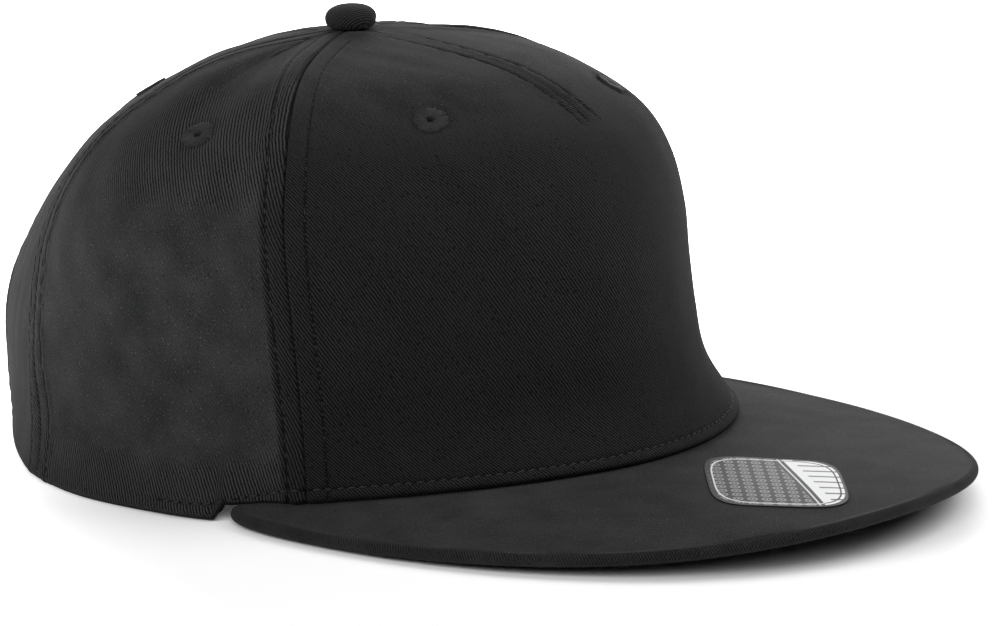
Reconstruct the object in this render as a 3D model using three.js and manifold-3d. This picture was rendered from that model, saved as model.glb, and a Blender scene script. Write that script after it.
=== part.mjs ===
// Snapback cap: five-panel crown with a raised front, flat peak and a plastic snap strap.
// Millimetres, +Z up. The origin is the middle of the head opening, on the surface that the
// cap rests on, straight under the top button. The peak points to -Y, the wearer's left is +X.
import * as THREE from 'three';
import Module from 'manifold-3d';
import { mergeVertices } from 'three/addons/utils/BufferGeometryUtils.js';

// Crown
const RIM_HALF_WIDTH = 94.5;
const FRONT_REACH = 103.7;
const BACK_REACH = 94.3;
const CROWN_HEIGHT = 102.3;
const FRONT_WALL = 2.0;
const CLOTH_WALL = 1.4;
const SEAM_ROLL = 1.8;
const SEAM_DEPTH = 0.6;
const DART_DEPTH = 0.7;
const FRONT_LIFT = 9.9;

// Peak
const PEAK_LENGTH = 70.3;
const PEAK_FLARE = 6.0;
const PEAK_TAIL = 20.0;
const PEAK_THICKNESS = 3.0;
const PEAK_TIP_HEIGHT = 11.8;
const PEAK_END_ANGLE = 69;
const PEAK_FLANGE = 4.4;

// Sweatband, rear arch and snap straps
const BAND_HEIGHT = 30;
const BAND_WALL = 1.2;
const ARCH_WIDTH = 92;
const ARCH_HEIGHT = 60;
const STRAP_HEIGHT = 20;
const STRAP_WALL = 1.2;
const STRAP_LIFT = 1.5;
const STRAP_TUCK = 16;
const SNAP_PITCH = 9.5;
const SNAP_COUNT = 7;
const SNAP_FASTENED = 5;
const SNAP_RADIUS = 1.7;
const SNAP_HEAD = 1.2;

// Button, eyelets and label
const BUTTON_RADIUS = 6.6;
const BUTTON_RISE = 5.7;
const BUTTON_SHANK = 3.8;
const BUTTON_WASHER = 1.0;
const EYELET_RADIUS = 4.5;
const EYELET_HOLE = 1.4;
const EYELET_BARREL = 2.6;
const EYELET_RISE = 0.7;
const LABEL_LENGTH = 44;
const LABEL_WIDTH = 32.5;
const LABEL_WALL = 0.5;
const LABEL_SIDE = -7.5;
const LABEL_FORWARD = 32.8;
const LABEL_LONG_TURN = 40;
const LABEL_SHORT_TURN = -64;

// Clearances
const GAP = 0.3;
const LINING_GAP = 0.5;

// Crown outline from the rim up. Each row gives its height as a share of the crown's height,
// and how far the front, the side and the back stand out, as shares of the reach at the rim.
const OUTLINE = [
  { height: 0.000, front: 1.000, side: 1.000, back: 1.000 },
  { height: 0.140, front: 0.915, side: 0.939, back: 1.057 },
  { height: 0.280, front: 0.888, side: 0.920, back: 1.054 },
  { height: 0.420, front: 0.870, side: 0.903, back: 0.977 },
  { height: 0.560, front: 0.856, side: 0.883, back: 0.863 },
  { height: 0.690, front: 0.824, side: 0.836, back: 0.732 },
  { height: 0.800, front: 0.767, side: 0.745, back: 0.591 },
  { height: 0.885, front: 0.654, side: 0.609, back: 0.434 },
  { height: 0.945, front: 0.516, side: 0.461, back: 0.297 },
  { height: 0.980, front: 0.310, side: 0.270, back: 0.164 },
  { height: 1.000, front: 0.000, side: 0.000, back: 0.000 },
];

// How much fuller (+) or flatter (-) than an ellipse the crown is at its four corners.
const CORNERS = [
  { up: 0.00, front: -0.026, back: -0.089 },
  { up: 0.35, front: -0.045, back: -0.057 },
  { up: 0.70, front: -0.020, back: -0.037 },
  { up: 1.00, front: 0.070, back: -0.006 },
];

// Seam angles in degrees from the middle of the front, from the rim to the button.
const SEAMS = [
  { up: 0.0, frontSide: 58.3, sideBack: 105.7 },
  { up: 0.5, frontSide: 63.0, sideBack: 122.0 },
  { up: 1.0, frontSide: 72.2, sideBack: 127.7 },
];

// Dents and swells of the soft cloth. Angle and spread in degrees, negative angles on the
// wearer's right; up and reach as shares of the way up; push as a share of the crown's height,
// inwards where it is negative. lean shifts the angle with the way up.
const DENTS = [
  { angle: -65.6, spread: 3.0, up: 0.05, reach: 0.07, lean: -25, push: -0.020 },
  { angle: -70.5, spread: 2.2, up: 0.10, reach: 0.10, lean: -20, push: 0.011 },
  { angle: -75.5, spread: 3.2, up: 0.13, reach: 0.12, lean: -10, push: -0.010 },
  { angle: -72.0, spread: 6.0, up: 0.36, reach: 0.16, lean: 0, push: -0.008 },
  { angle: -88.0, spread: 7.5, up: 0.74, reach: 0.15, lean: -20, push: -0.019 },
  { angle: -93.0, spread: 13.0, up: 0.40, reach: 0.13, lean: 0, push: 0.008 },
  { angle: -110.0, spread: 4.0, up: 0.12, reach: 0.12, lean: 0, push: 0.010 },
  { angle: -34.0, spread: 12.0, up: 0.16, reach: 0.12, lean: 20, push: -0.012 },
  { angle: -17.0, spread: 6.0, up: 0.10, reach: 0.09, lean: 30, push: -0.009 },
  { angle: 36.0, spread: 12.0, up: 0.15, reach: 0.12, lean: -20, push: -0.008 },
  { angle: 78.0, spread: 7.0, up: 0.20, reach: 0.14, lean: 10, push: -0.012 },
  { angle: 92.0, spread: 8.0, up: 0.72, reach: 0.15, lean: 15, push: -0.013 },
  { angle: 135.0, spread: 10.0, up: 0.45, reach: 0.15, lean: 0, push: -0.009 },
  { angle: -140.0, spread: 9.0, up: 0.50, reach: 0.14, lean: 0, push: -0.008 },
];

// Eyelets: angle in degrees on the wearer's right and left, and the share of the way up.
const EYELETS = [
  { name: 'front', right: 36.8, left: 31.5, up: 0.686 },
  { name: 'side', right: 85.0, left: 85.0, up: 0.647 },
  { name: 'back', right: 148.0, left: 148.0, up: 0.660 },
];

const wasm = await Module();
wasm.setup();
const cap = new THREE.Group();

const sine = (degrees) => Math.sin(THREE.MathUtils.degToRad(degrees));
const cosine = (degrees) => Math.cos(THREE.MathUtils.degToRad(degrees));
const lerp = THREE.MathUtils.lerp;
const clamp = THREE.MathUtils.clamp;
const smoothstep = THREE.MathUtils.smoothstep;

// A smooth value between the rows of a table, with no overshoot.
function between(table, key, column, at) {
  const last = table.length - 1;
  const x = clamp(at, table[0][key], table[last][key]);
  let k = 0;
  while (k < last - 1 && x > table[k + 1][key]) k += 1;
  const rise = (i) => (table[i + 1][column] - table[i][column]) / (table[i + 1][key] - table[i][key]);
  const slope = (i) => {
    if (i === 0 || i === last) return 0;
    const [a, b] = [rise(i - 1), rise(i)];
    return a * b > 0 ? (2 * a * b) / (a + b) : 0;
  };
  const step = table[k + 1][key] - table[k][key];
  const t = (x - table[k][key]) / step;
  const [from, to] = [table[k][column], table[k + 1][column]];
  return from * (1 + 2 * t) * (1 - t) ** 2 + to * t * t * (3 - 2 * t)
    + step * t * (1 - t) * (slope(k) * (1 - t) - slope(k + 1) * t);
}

// The outline's value at a share of the way up, as a smooth curve through all of its rows.
// Past the button it is mirrored, so that the crown closes in a smooth dome.
function outlineAt(column, up) {
  const last = OUTLINE.length - 1;
  const mirror = column === 'height' ? 1 : -1;
  const row = (i) => {
    if (i < 0) return 2 * OUTLINE[0][column] - OUTLINE[1][column];
    return i > last ? mirror * OUTLINE[2 * last - i][column] : OUTLINE[i][column];
  };
  const place = up * last;
  const i = Math.min(Math.floor(place), last - 1);
  const t = place - i;
  const [a, b, c, d] = [row(i - 1), row(i), row(i + 1), row(i + 2)];
  return 0.5 * (2 * b + (c - a) * t + (2 * a - 5 * b + 4 * c - d) * t * t
    + (3 * b - a - 3 * c + d) * t ** 3);
}

// The rim's lift over the peak, as a share of its lift at the front, against the share of the
// half width. Behind the ends of the peak the rim steps down to the surface it rests on.
const seatLift = (across) => 1 - 0.4 * across ** 2 - 0.4 * across ** 4;

function seatHeight(x) {
  return FRONT_LIFT * seatLift(Math.min(Math.abs(x) / RIM_HALF_WIDTH, 0.93));
}

const STEP_START = PEAK_END_ANGLE + 1.0;
const STEP_END = PEAK_END_ANGLE + 2.6;

function rimHeight(angle, x) {
  const side = Math.abs(angle) > 180 ? 360 - Math.abs(angle) : Math.abs(angle);
  return seatHeight(x) * (1 - smoothstep(side, STEP_START, STEP_END));
}

// The crown without its dents.
function plainCrown(angle, up) {
  const [s, c] = [sine(angle), cosine(angle)];
  const corner = (at) => between(CORNERS, 'up', c > 0 ? 'front' : 'back', at) * (2 * s * c) ** 2;
  const fuller = corner(up);
  const reach = c > 0 ? FRONT_REACH * outlineAt('front', up) : BACK_REACH * outlineAt('back', up);
  const x = RIM_HALF_WIDTH * outlineAt('side', up) * s * (1 + fuller);
  const y = -reach * c * (1 + fuller);
  const rimX = RIM_HALF_WIDTH * s * (1 + corner(0));
  return new THREE.Vector3(x, y, lerp(rimHeight(angle, rimX), CROWN_HEIGHT, outlineAt('height', up)));
}

// The outward direction of the crown's surface.
function outward(angle, up) {
  const [turn, climb] = [0.2, 0.002];
  const across = plainCrown(angle + turn, up).sub(plainCrown(angle - turn, up));
  const low = Math.max(up - climb, 0);
  const along = plainCrown(angle, low + 2 * climb).sub(plainCrown(angle, low));
  return across.cross(along).normalize();
}

function dentPush(angle, up) {
  const turned = ((angle + 540) % 360) - 180;
  return DENTS.reduce((sum, dent) => {
    const away = (turned - dent.angle - dent.lean * (up - dent.up)) / dent.spread;
    return sum + dent.push * CROWN_HEIGHT * Math.exp(-(away ** 2) - ((up - dent.up) / dent.reach) ** 2);
  }, 0);
}

// A point of the crown, moved inwards by a depth. At the rim it keeps the height of its seat.
function crownPoint(angle, up, depth = 0) {
  const normal = outward(angle, up);
  if (up <= 0) normal.setZ(0).normalize();
  const point = plainCrown(angle, up).addScaledVector(normal, dentPush(angle, up) - depth);
  return up <= 0 ? point.setZ(rimHeight(angle, point.x)) : point;
}

// The share of the way up at which a test is met, found by halving.
function findUp(isAbove) {
  let [low, high] = [0, 1];
  for (let k = 0; k < 24; k += 1) {
    const middle = (low + high) / 2;
    if (isAbove(middle)) high = middle;
    else low = middle;
  }
  return (low + high) / 2;
}

const upAtRadius = (angle, radius) => findUp((up) => {
  const point = plainCrown(angle, up);
  return Math.hypot(point.x, point.y) < radius;
});

// A point inside the crown at a height, at a depth from the plain surface.
function insidePoint(angle, height, depth) {
  const at = (up) => plainCrown(angle, up).addScaledVector(outward(angle, up), -depth);
  return at(findUp((up) => at(up).z > height));
}

// Turns a length along the crown at some height into degrees.
function degreesFor(length, angle, up) {
  const perDegree = plainCrown(angle + 0.5, up).distanceTo(plainCrown(angle - 0.5, up));
  return length / perDegree;
}

// A closed wall from a grid of columns and rows: outer and inner points, and the strips that
// join their edges. point(i, j, inner) gives each of its corners.
function wallGeometry(columns, rows, point) {
  const positions = [];
  const index = [];
  const at = (i, j, inner) => (inner * rows + j) * columns + i;
  for (const inner of [0, 1]) {
    for (let j = 0; j < rows; j += 1) {
      for (let i = 0; i < columns; i += 1) positions.push(...point(i, j, inner).toArray());
    }
  }
  const quad = (a, b, c, d) => index.push(a, b, c, a, c, d);
  for (let j = 0; j < rows - 1; j += 1) {
    for (let i = 0; i < columns - 1; i += 1) {
      quad(at(i, j, 0), at(i + 1, j, 0), at(i + 1, j + 1, 0), at(i, j + 1, 0));
      quad(at(i, j, 1), at(i, j + 1, 1), at(i + 1, j + 1, 1), at(i + 1, j, 1));
    }
    quad(at(0, j, 1), at(0, j, 0), at(0, j + 1, 0), at(0, j + 1, 1));
    const last = columns - 1;
    quad(at(last, j, 0), at(last, j, 1), at(last, j + 1, 1), at(last, j + 1, 0));
  }
  for (let i = 0; i < columns - 1; i += 1) {
    quad(at(i, 0, 1), at(i + 1, 0, 1), at(i + 1, 0, 0), at(i, 0, 0));
    quad(at(i, rows - 1, 0), at(i + 1, rows - 1, 0), at(i + 1, rows - 1, 1), at(i, rows - 1, 1));
  }
  const geometry = new THREE.BufferGeometry();
  geometry.setAttribute('position', new THREE.Float32BufferAttribute(positions, 3));
  geometry.setIndex(index);
  return geometry;
}

// Booleans
function solid(geometry) {
  const bare = geometry.clone();
  bare.deleteAttribute('normal');
  bare.deleteAttribute('uv');
  const merged = mergeVertices(bare, 1e-4);
  return new wasm.Manifold(new wasm.Mesh({
    numProp: 3,
    vertProperties: new Float32Array(merged.attributes.position.array),
    triVerts: new Uint32Array(merged.index.array),
  }));
}

function geometryOf(body) {
  const mesh = body.getMesh();
  const geometry = new THREE.BufferGeometry();
  geometry.setAttribute('position', new THREE.Float32BufferAttribute(mesh.vertProperties, 3));
  geometry.setIndex(Array.from(mesh.triVerts));
  return geometry;
}

function cut(geometry, tools) {
  return geometryOf(tools.reduce((body, tool) => body.subtract(solid(tool)), solid(geometry)));
}

function join(geometry, others) {
  return geometryOf(others.reduce((body, other) => body.add(solid(other)), solid(geometry)));
}

// Materials
const finish = (color, roughness) => new THREE.MeshStandardMaterial({ color, roughness });
const twill = () => finish(0x2d2d30, 0.92);
const lining = () => finish(0x1c1c1e, 0.95);
const thread = () => finish(0x333338, 0.7);
const plastic = () => finish(0x17171a, 0.38);
const paper = () => finish(0xd9d9dc, 0.5);

function add(name, geometry, material) {
  const flat = geometry.index ? geometry.toNonIndexed() : geometry;
  flat.computeVertexNormals();
  const mesh = new THREE.Mesh(flat, material);
  mesh.name = name;
  cap.add(mesh);
}

// A lathe stood on the crown, with its axis along the crown's outward direction.
function onCrown(geometry, angle, up) {
  const turn = new THREE.Quaternion().setFromUnitVectors(new THREE.Vector3(0, 1, 0), outward(angle, up));
  const place = crownPoint(angle, up);
  return geometry.applyMatrix4(new THREE.Matrix4().compose(place, turn, new THREE.Vector3(1, 1, 1)));
}

// Crown panels
const seamAngle = (column, up) => between(SEAMS, 'up', column, up);
const PANEL_ROWS = 13;

// Shares across a panel: fine where the cloth rolls into the seams, and at given angles.
function acrossShares(count, arc, extra = []) {
  const roll = SEAM_ROLL / arc;
  const even = Array.from({ length: count - 1 }, (_, k) => (k + 1) / count);
  const kept = even.filter((u) => u > 2 * roll && u < 1 - 2 * roll
    && extra.every((e) => Math.abs(e - u) > 0.3 / count));
  return [0, roll / 3, roll, 1 - roll, 1 - roll / 3, 1, ...kept, ...extra].sort((a, b) => a - b);
}

// How far the cloth dips where it rolls into a seam at either edge.
function seamDip(u, arc) {
  const edge = Math.min(u, 1 - u) * arc;
  return SEAM_DEPTH * (1 - Math.min(edge / SEAM_ROLL, 1)) ** 2;
}

// The groove of the dart, from the button to part of the way down the front.
function dartDip(angle, up) {
  const fade = smoothstep(up, 0.66, 0.74);
  const away = plainCrown(angle, up).x / SEAM_ROLL;
  return DART_DEPTH * fade * Math.exp(-(away ** 2));
}

function panelGeometry(from, to, wall, count, extra = [], dip = () => 0) {
  const arc = plainCrown(from(0), 0).distanceTo(plainCrown((from(0) + to(0)) / 2, 0)) * 2;
  const shares = acrossShares(count, arc, extra.map((angle) => (angle - from(0)) / (to(0) - from(0))));
  return wallGeometry(shares.length, PANEL_ROWS, (i, j, inner) => {
    const u = shares[i];
    const rough = (j / (PANEL_ROWS - 1)) * 0.98;
    const guess = lerp(from(rough), to(rough), u);
    const up = (j / (PANEL_ROWS - 1)) * upAtRadius(guess, BUTTON_SHANK + GAP);
    const half = degreesFor(GAP / 2, guess, up);
    const angle = lerp(from(up) + half, to(up) - half, u);
    return crownPoint(angle, up, inner ? wall : seamDip(u, arc) + dip(angle, up));
  });
}

// A round hole for an eyelet, through a wall.
function eyeletCut(angle, up) {
  return onCrown(new THREE.CylinderGeometry(EYELET_BARREL + GAP, EYELET_BARREL + GAP, 16, 16), angle, up);
}

// The arch over the snap strap: an upright prism through the back of the crown.
function archCut() {
  const radius = ARCH_WIDTH / 2;
  const shape = new THREE.Shape();
  shape.moveTo(-radius, -10);
  shape.lineTo(radius, -10);
  shape.lineTo(radius, ARCH_HEIGHT - radius);
  shape.absarc(0, ARCH_HEIGHT - radius, radius, 0, Math.PI, false);
  const depth = 2 * BACK_REACH;
  const prism = new THREE.ExtrudeGeometry(shape, { depth, bevelEnabled: false, curveSegments: 20 });
  return prism.rotateX(Math.PI / 2).translate(0, depth + 1, 0);
}

function buildCrown() {
  const front = panelGeometry(
    (up) => -seamAngle('frontSide', up),
    (up) => seamAngle('frontSide', up),
    FRONT_WALL, 22, [-1.2, 0, 1.2], dartDip,
  );
  const [frontEyelet, sideEyelet, backEyelet] = EYELETS;
  add('crown_front_panel', cut(front, [
    eyeletCut(-frontEyelet.right, frontEyelet.up),
    eyeletCut(frontEyelet.left, frontEyelet.up),
  ]), twill());
  const steps = [0, 1, 2, 3].map((k) => lerp(STEP_START, STEP_END, k / 3));
  for (const [side, sign] of [['right', -1], ['left', 1]]) {
    const edges = (near, far) => [
      (up) => (sign < 0 ? -seamAngle(far, up) : seamAngle(near, up)),
      (up) => (sign < 0 ? -seamAngle(near, up) : seamAngle(far, up)),
    ];
    const extra = steps.map((angle) => sign * angle);
    const sidePanel = panelGeometry(...edges('frontSide', 'sideBack'), CLOTH_WALL, 11, extra);
    const sideHole = eyeletCut(sign * sideEyelet[side], sideEyelet.up);
    add(`crown_side_panel_${side}`, cut(sidePanel, [sideHole]), twill());
    const [from, to] = sign < 0
      ? [() => -180, (up) => -seamAngle('sideBack', up)]
      : [(up) => seamAngle('sideBack', up), () => 180];
    const backPanel = panelGeometry(from, to, CLOTH_WALL, 12);
    add(`crown_back_panel_${side}`, cut(backPanel, [
      archCut(),
      eyeletCut(sign * backEyelet[side], backEyelet.up),
    ]), twill());
  }
}

// Eyelet: a stitched ring on the cloth, with its barrel through the hole.
function buildEyelets() {
  const walls = { front: FRONT_WALL, side: CLOTH_WALL, back: CLOTH_WALL };
  for (const eyelet of EYELETS) {
    const depth = walls[eyelet.name];
    const profile = [
      [EYELET_HOLE, -depth],
      [EYELET_BARREL, -depth],
      [EYELET_BARREL, GAP],
      [EYELET_RADIUS, GAP],
      [EYELET_RADIUS - 0.3, EYELET_RISE],
      [EYELET_BARREL, EYELET_RISE + GAP],
      [EYELET_HOLE, EYELET_RISE],
      [EYELET_HOLE, -depth],
    ].map(([radius, height]) => new THREE.Vector2(radius, height));
    for (const [side, sign] of [['right', -1], ['left', 1]]) {
      const ring = new THREE.LatheGeometry(profile, 14);
      add(`eyelet_${eyelet.name}_${side}`, onCrown(ring, sign * eyelet[side], eyelet.up), thread());
    }
  }
}

// Button: a cloth-covered dome on the crown, with its shank and washer through the middle.
function buildButton() {
  const seat = CROWN_HEIGHT + GAP;
  const under = CROWN_HEIGHT - FRONT_WALL - LINING_GAP;
  const profile = [
    [0, under - BUTTON_WASHER],
    [BUTTON_RADIUS - 0.8, under - BUTTON_WASHER],
    [BUTTON_RADIUS - 0.8, under],
    [BUTTON_SHANK, under],
    [BUTTON_SHANK, seat],
    [BUTTON_RADIUS - 0.6, seat],
    [BUTTON_RADIUS, seat + 0.22 * BUTTON_RISE],
    [BUTTON_RADIUS - 0.2, seat + 0.5 * BUTTON_RISE],
    [BUTTON_RADIUS * 0.8, seat + 0.8 * BUTTON_RISE],
    [BUTTON_RADIUS * 0.48, seat + 0.95 * BUTTON_RISE],
    [0, seat + BUTTON_RISE],
  ].map(([radius, height]) => new THREE.Vector2(radius, height));
  add('top_button', new THREE.LatheGeometry(profile, 20).rotateX(Math.PI / 2), twill());
}

// Peak
const PEAK_END = crownPoint(PEAK_END_ANGLE, 0, FRONT_WALL);
const PEAK_WIDEST = PEAK_END.y - PEAK_TAIL;
const PEAK_FORE = FRONT_REACH + PEAK_LENGTH + PEAK_WIDEST;

// The peak's edge in plan. turn is 0 at the tip and 90 at the widest place, and from there the
// tail runs in to the end under the crown.
function peakEdge(turn) {
  const [s, c] = [sine(turn), cosine(turn)];
  const inner = c > 0 ? 0 : PEAK_END.x;
  const across = inner + (PEAK_END.x + PEAK_FLARE - inner) * Math.abs(s);
  return new THREE.Vector2(Math.sign(s) * across, PEAK_WIDEST - c * (c > 0 ? PEAK_FORE : PEAK_TAIL));
}

// The height of the peak's top: the rim's seat at the crown, an arch at the outer edge.
function peakTop(x, y) {
  const across = Math.abs(x) / (PEAK_END.x + PEAK_FLARE);
  const arch = PEAK_TIP_HEIGHT * (1 - 1.30 * across ** 2 + 0.62 * across ** 4);
  const along = Math.sqrt(Math.max(0, 1 - (x / RIM_HALF_WIDTH) ** 2));
  const forward = clamp((-y - FRONT_REACH * along) / PEAK_LENGTH, 0, 1);
  return lerp(seatHeight(x) - GAP, arch, forward ** 1.5);
}

function buildPeak() {
  const turns = [];
  for (let k = 0; k <= 40; k += 1) turns.push(-180 + 9 * k);
  const ease = turns.map((turn) => turn / 180);
  const half = PEAK_THICKNESS / 2;
  const topShares = [0, 0.15, 0.4, 0.65, 0.87];
  const rounding = [-90, -45, 0].map((tilt) => ({
    inset: half * (1 - cosine(tilt)),
    drop: half * (1 + sine(tilt)),
  }));
  const rows = topShares.length + rounding.length;
  const point = (i, j, under) => {
    const turn = turns[i];
    const edge = peakEdge(turn);
    const ahead = peakEdge(Math.min(turn + 0.5, 180));
    const behind = peakEdge(Math.max(turn - 0.5, -180));
    const inward = new THREE.Vector2(behind.y - ahead.y, ahead.x - behind.x).normalize();
    const start = crownPoint((PEAK_END_ANGLE - 1) * ease[i], 0, PEAK_FLANGE);
    const share = topShares[j] ?? 1;
    const round = rounding[Math.max(j - topShares.length, 0)];
    const rim = edge.clone().addScaledVector(inward, round.inset);
    const x = lerp(start.x, rim.x, share);
    const y = lerp(start.y, rim.y, share);
    const drop = j < topShares.length ? 0 : round.drop;
    const top = peakTop(x, y);
    return new THREE.Vector3(x, y, under ? top - PEAK_THICKNESS + drop : top - drop);
  };
  const lastRow = rows - 1;
  const geometry = wallGeometry(turns.length, rows, (i, j, inner) => point(i, lastRow - j, inner));
  add('peak', mergeVertices(geometry, 1e-4), twill());
}

// Label: a thin sticker that lies on the peak, a slanted rectangle with rounded corners.
function buildLabel() {
  const [around, rings] = [28, 3];
  const points = [];
  const index = [];
  const centreY = -(FRONT_REACH + LABEL_FORWARD);
  const round = (value) => Math.sign(value) * Math.abs(value) ** 0.5;
  const place = (ring, k, lift) => {
    const turn = (360 * k) / around;
    const share = ring / rings;
    const along = (LABEL_LENGTH / 2) * share * round(cosine(turn));
    const across = -(LABEL_WIDTH / 2) * share * round(sine(turn));
    const x = LABEL_SIDE + along * cosine(LABEL_LONG_TURN) + across * cosine(LABEL_SHORT_TURN);
    const y = centreY + along * sine(LABEL_LONG_TURN) + across * sine(LABEL_SHORT_TURN);
    return [x, y, peakTop(x, y) + GAP + lift];
  };
  for (const lift of [LABEL_WALL, 0]) {
    points.push(...place(0, 0, lift));
    for (let ring = 1; ring <= rings; ring += 1) {
      for (let k = 0; k < around; k += 1) points.push(...place(ring, k, lift));
    }
  }
  const layer = 1 + rings * around;
  const at = (side, ring, k) => side * layer + (ring === 0 ? 0 : 1 + (ring - 1) * around + (k % around));
  const face = (side, a, b, c) => index.push(...(side ? [a, c, b] : [a, b, c]));
  for (const side of [0, 1]) {
    for (let k = 0; k < around; k += 1) {
      face(side, at(side, 0, 0), at(side, 1, k), at(side, 1, k + 1));
      for (let ring = 1; ring < rings; ring += 1) {
        face(side, at(side, ring, k), at(side, ring + 1, k), at(side, ring + 1, k + 1));
        face(side, at(side, ring, k), at(side, ring + 1, k + 1), at(side, ring, k + 1));
      }
    }
  }
  for (let k = 0; k < around; k += 1) {
    index.push(at(0, rings, k), at(1, rings, k), at(1, rings, k + 1));
    index.push(at(0, rings, k), at(1, rings, k + 1), at(0, rings, k + 1));
  }
  const geometry = new THREE.BufferGeometry();
  geometry.setAttribute('position', new THREE.Float32BufferAttribute(points, 3));
  geometry.setIndex(index);
  add('peak_label', geometry, paper());
}

// Angles at the back: the arch's edge, and where the strap's tail ends inside the crown.
const ARCH_EDGE = 180 - THREE.MathUtils.radToDeg(Math.asin(ARCH_WIDTH / 2 / RIM_HALF_WIDTH));
const TAIL_END = ARCH_EDGE - degreesFor(STRAP_TUCK, ARCH_EDGE, 0);
const STRAP_SEAT = CLOTH_WALL + LINING_GAP;
const STRAP_NEST = STRAP_SEAT + STRAP_WALL + GAP;

// Sweatband: against the crown's inside, from one side of the arch round the front to the other.
function buildSweatband() {
  const end = ARCH_EDGE - degreesFor(4, ARCH_EDGE, 0);
  const frontDepth = FRONT_WALL + LINING_GAP;
  const depthAt = (angle) => {
    const turn = Math.abs(angle);
    const seam = seamAngle('frontSide', 0);
    const beside = lerp(frontDepth, CLOTH_WALL + LINING_GAP, smoothstep(turn, seam + 2, seam + 10));
    return lerp(beside, STRAP_NEST + GAP, smoothstep(turn, TAIL_END - 8, TAIL_END - 1));
  };
  // The band is stiffer than the cloth and passes clear of its dents.
  const clearOf = (angle) => {
    let deepest = 0;
    for (let turn = -4; turn <= 4; turn += 2) {
      for (let up = 0; up < 0.35; up += 0.05) deepest = Math.max(deepest, -dentPush(angle + turn, up));
    }
    return deepest;
  };
  const count = 64;
  const rows = 4;
  const geometry = wallGeometry(count + 1, rows, (i, j, inner) => {
    const angle = lerp(-end, end, i / count);
    const depth = depthAt(angle) + clearOf(angle) + (inner ? BAND_WALL : 0);
    const foot = plainCrown(angle, 0).addScaledVector(outward(angle, 0), -depth);
    const low = rimHeight(angle, foot.x) + LINING_GAP;
    return insidePoint(angle, low + (BAND_HEIGHT * j) / (rows - 1), depth);
  });
  add('sweatband', geometry, lining());
}

// Snap straps. Both share one row of places for pegs and holes, counted from the middle of
// the back, and the strap with holes lies outside the strap with pegs.
function strapGeometry(from, to, depthAt, tipAtStart) {
  const round = STRAP_HEIGHT * 0.4;
  const perDegree = 1 / degreesFor(1, 180, 0);
  const count = 18;
  const tipSteps = [0, 0.08, 0.3, 0.62].map((share) => (share * round) / perDegree);
  const rest = Array.from({ length: count }, (_, k) => lerp(round / perDegree, to - from, k / (count - 1)));
  const along = [...tipSteps, ...rest];
  const turns = tipAtStart ? along.map((a) => from + a) : along.map((a) => to - a).reverse();
  const rows = 3;
  return wallGeometry(turns.length, rows, (i, j, inner) => {
    const angle = turns[i];
    const fromTip = (tipAtStart ? angle - from : to - angle) * perDegree;
    const bite = Math.max(0, round - fromTip);
    const narrow = round - Math.sqrt(Math.max(0, round ** 2 - bite ** 2));
    const low = STRAP_LIFT + narrow;
    const high = STRAP_LIFT + STRAP_HEIGHT - narrow;
    return insidePoint(angle, lerp(low, high, j / (rows - 1)), depthAt(angle) + (inner ? STRAP_WALL : 0));
  });
}

function buildStraps() {
  const pitch = degreesFor(SNAP_PITCH, 180, 0);
  const reach = (SNAP_FASTENED - 1) / 2;
  const tip = (reach + 0.56) * pitch;
  const [holesTip, pegsTip] = [180 + tip, 180 - tip];
  const middle = STRAP_LIFT + STRAP_HEIGHT / 2;
  const stand = (geometry, angle, depth) => {
    const place = insidePoint(angle, middle, depth);
    const direction = place.clone().sub(insidePoint(angle, middle, depth + STRAP_WALL)).setZ(0).normalize();
    const turn = new THREE.Quaternion().setFromUnitVectors(new THREE.Vector3(0, 1, 0), direction);
    return geometry.applyMatrix4(new THREE.Matrix4().compose(place, turn, new THREE.Vector3(1, 1, 1)));
  };
  const holes = Array.from({ length: SNAP_COUNT }, (_, k) => 180 + (reach - k) * pitch);
  const holesBody = strapGeometry(TAIL_END, holesTip, () => STRAP_SEAT, false);
  const holeRadius = SNAP_RADIUS + GAP;
  const drill = () => new THREE.CylinderGeometry(holeRadius, holeRadius, 6, 12);
  const drills = holes.map((angle) => stand(drill(), angle, STRAP_SEAT));
  add('snap_strap_holes', cut(holesBody, drills), plastic());

  const pegs = Array.from({ length: SNAP_COUNT }, (_, k) => 180 + (k - reach) * pitch);
  const pegsDepth = (angle) => lerp(STRAP_NEST, STRAP_SEAT, smoothstep(angle, holesTip + 3, holesTip + 12));
  const pegsBody = strapGeometry(pegsTip, 360 - TAIL_END, pegsDepth, true);
  const studs = pegs.map((angle) => {
    const rise = STRAP_WALL + GAP + SNAP_HEAD;
    const profile = [[0, -STRAP_WALL / 2], [SNAP_RADIUS, -STRAP_WALL / 2], [SNAP_RADIUS, rise * 0.75],
      [SNAP_RADIUS * 0.6, rise], [0, rise]].map(([radius, height]) => new THREE.Vector2(radius, height));
    return stand(new THREE.LatheGeometry(profile, 10), angle, pegsDepth(angle));
  });
  add('snap_strap_pegs', join(pegsBody, studs), plastic());
}

buildCrown();
buildEyelets();
buildButton();
buildPeak();
buildLabel();
buildSweatband();
buildStraps();

export default cap;
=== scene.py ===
"""Looks of the snapback cap: its sewn and moulded pieces, their finishes, the light and the camera.

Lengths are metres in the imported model's frame: +Z is up, the peak points to -Y and the wearer's
left is +X. Angles on the crown are degrees from the middle of the front, positive on the
wearer's left, and "up" is the share of the way from the rim to the button.
"""

import logging
import math
from collections.abc import Callable, Sequence
from dataclasses import dataclass, field
from enum import Enum

import bmesh
import bpy
import numpy as np
from mathutils import Matrix, Vector


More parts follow.
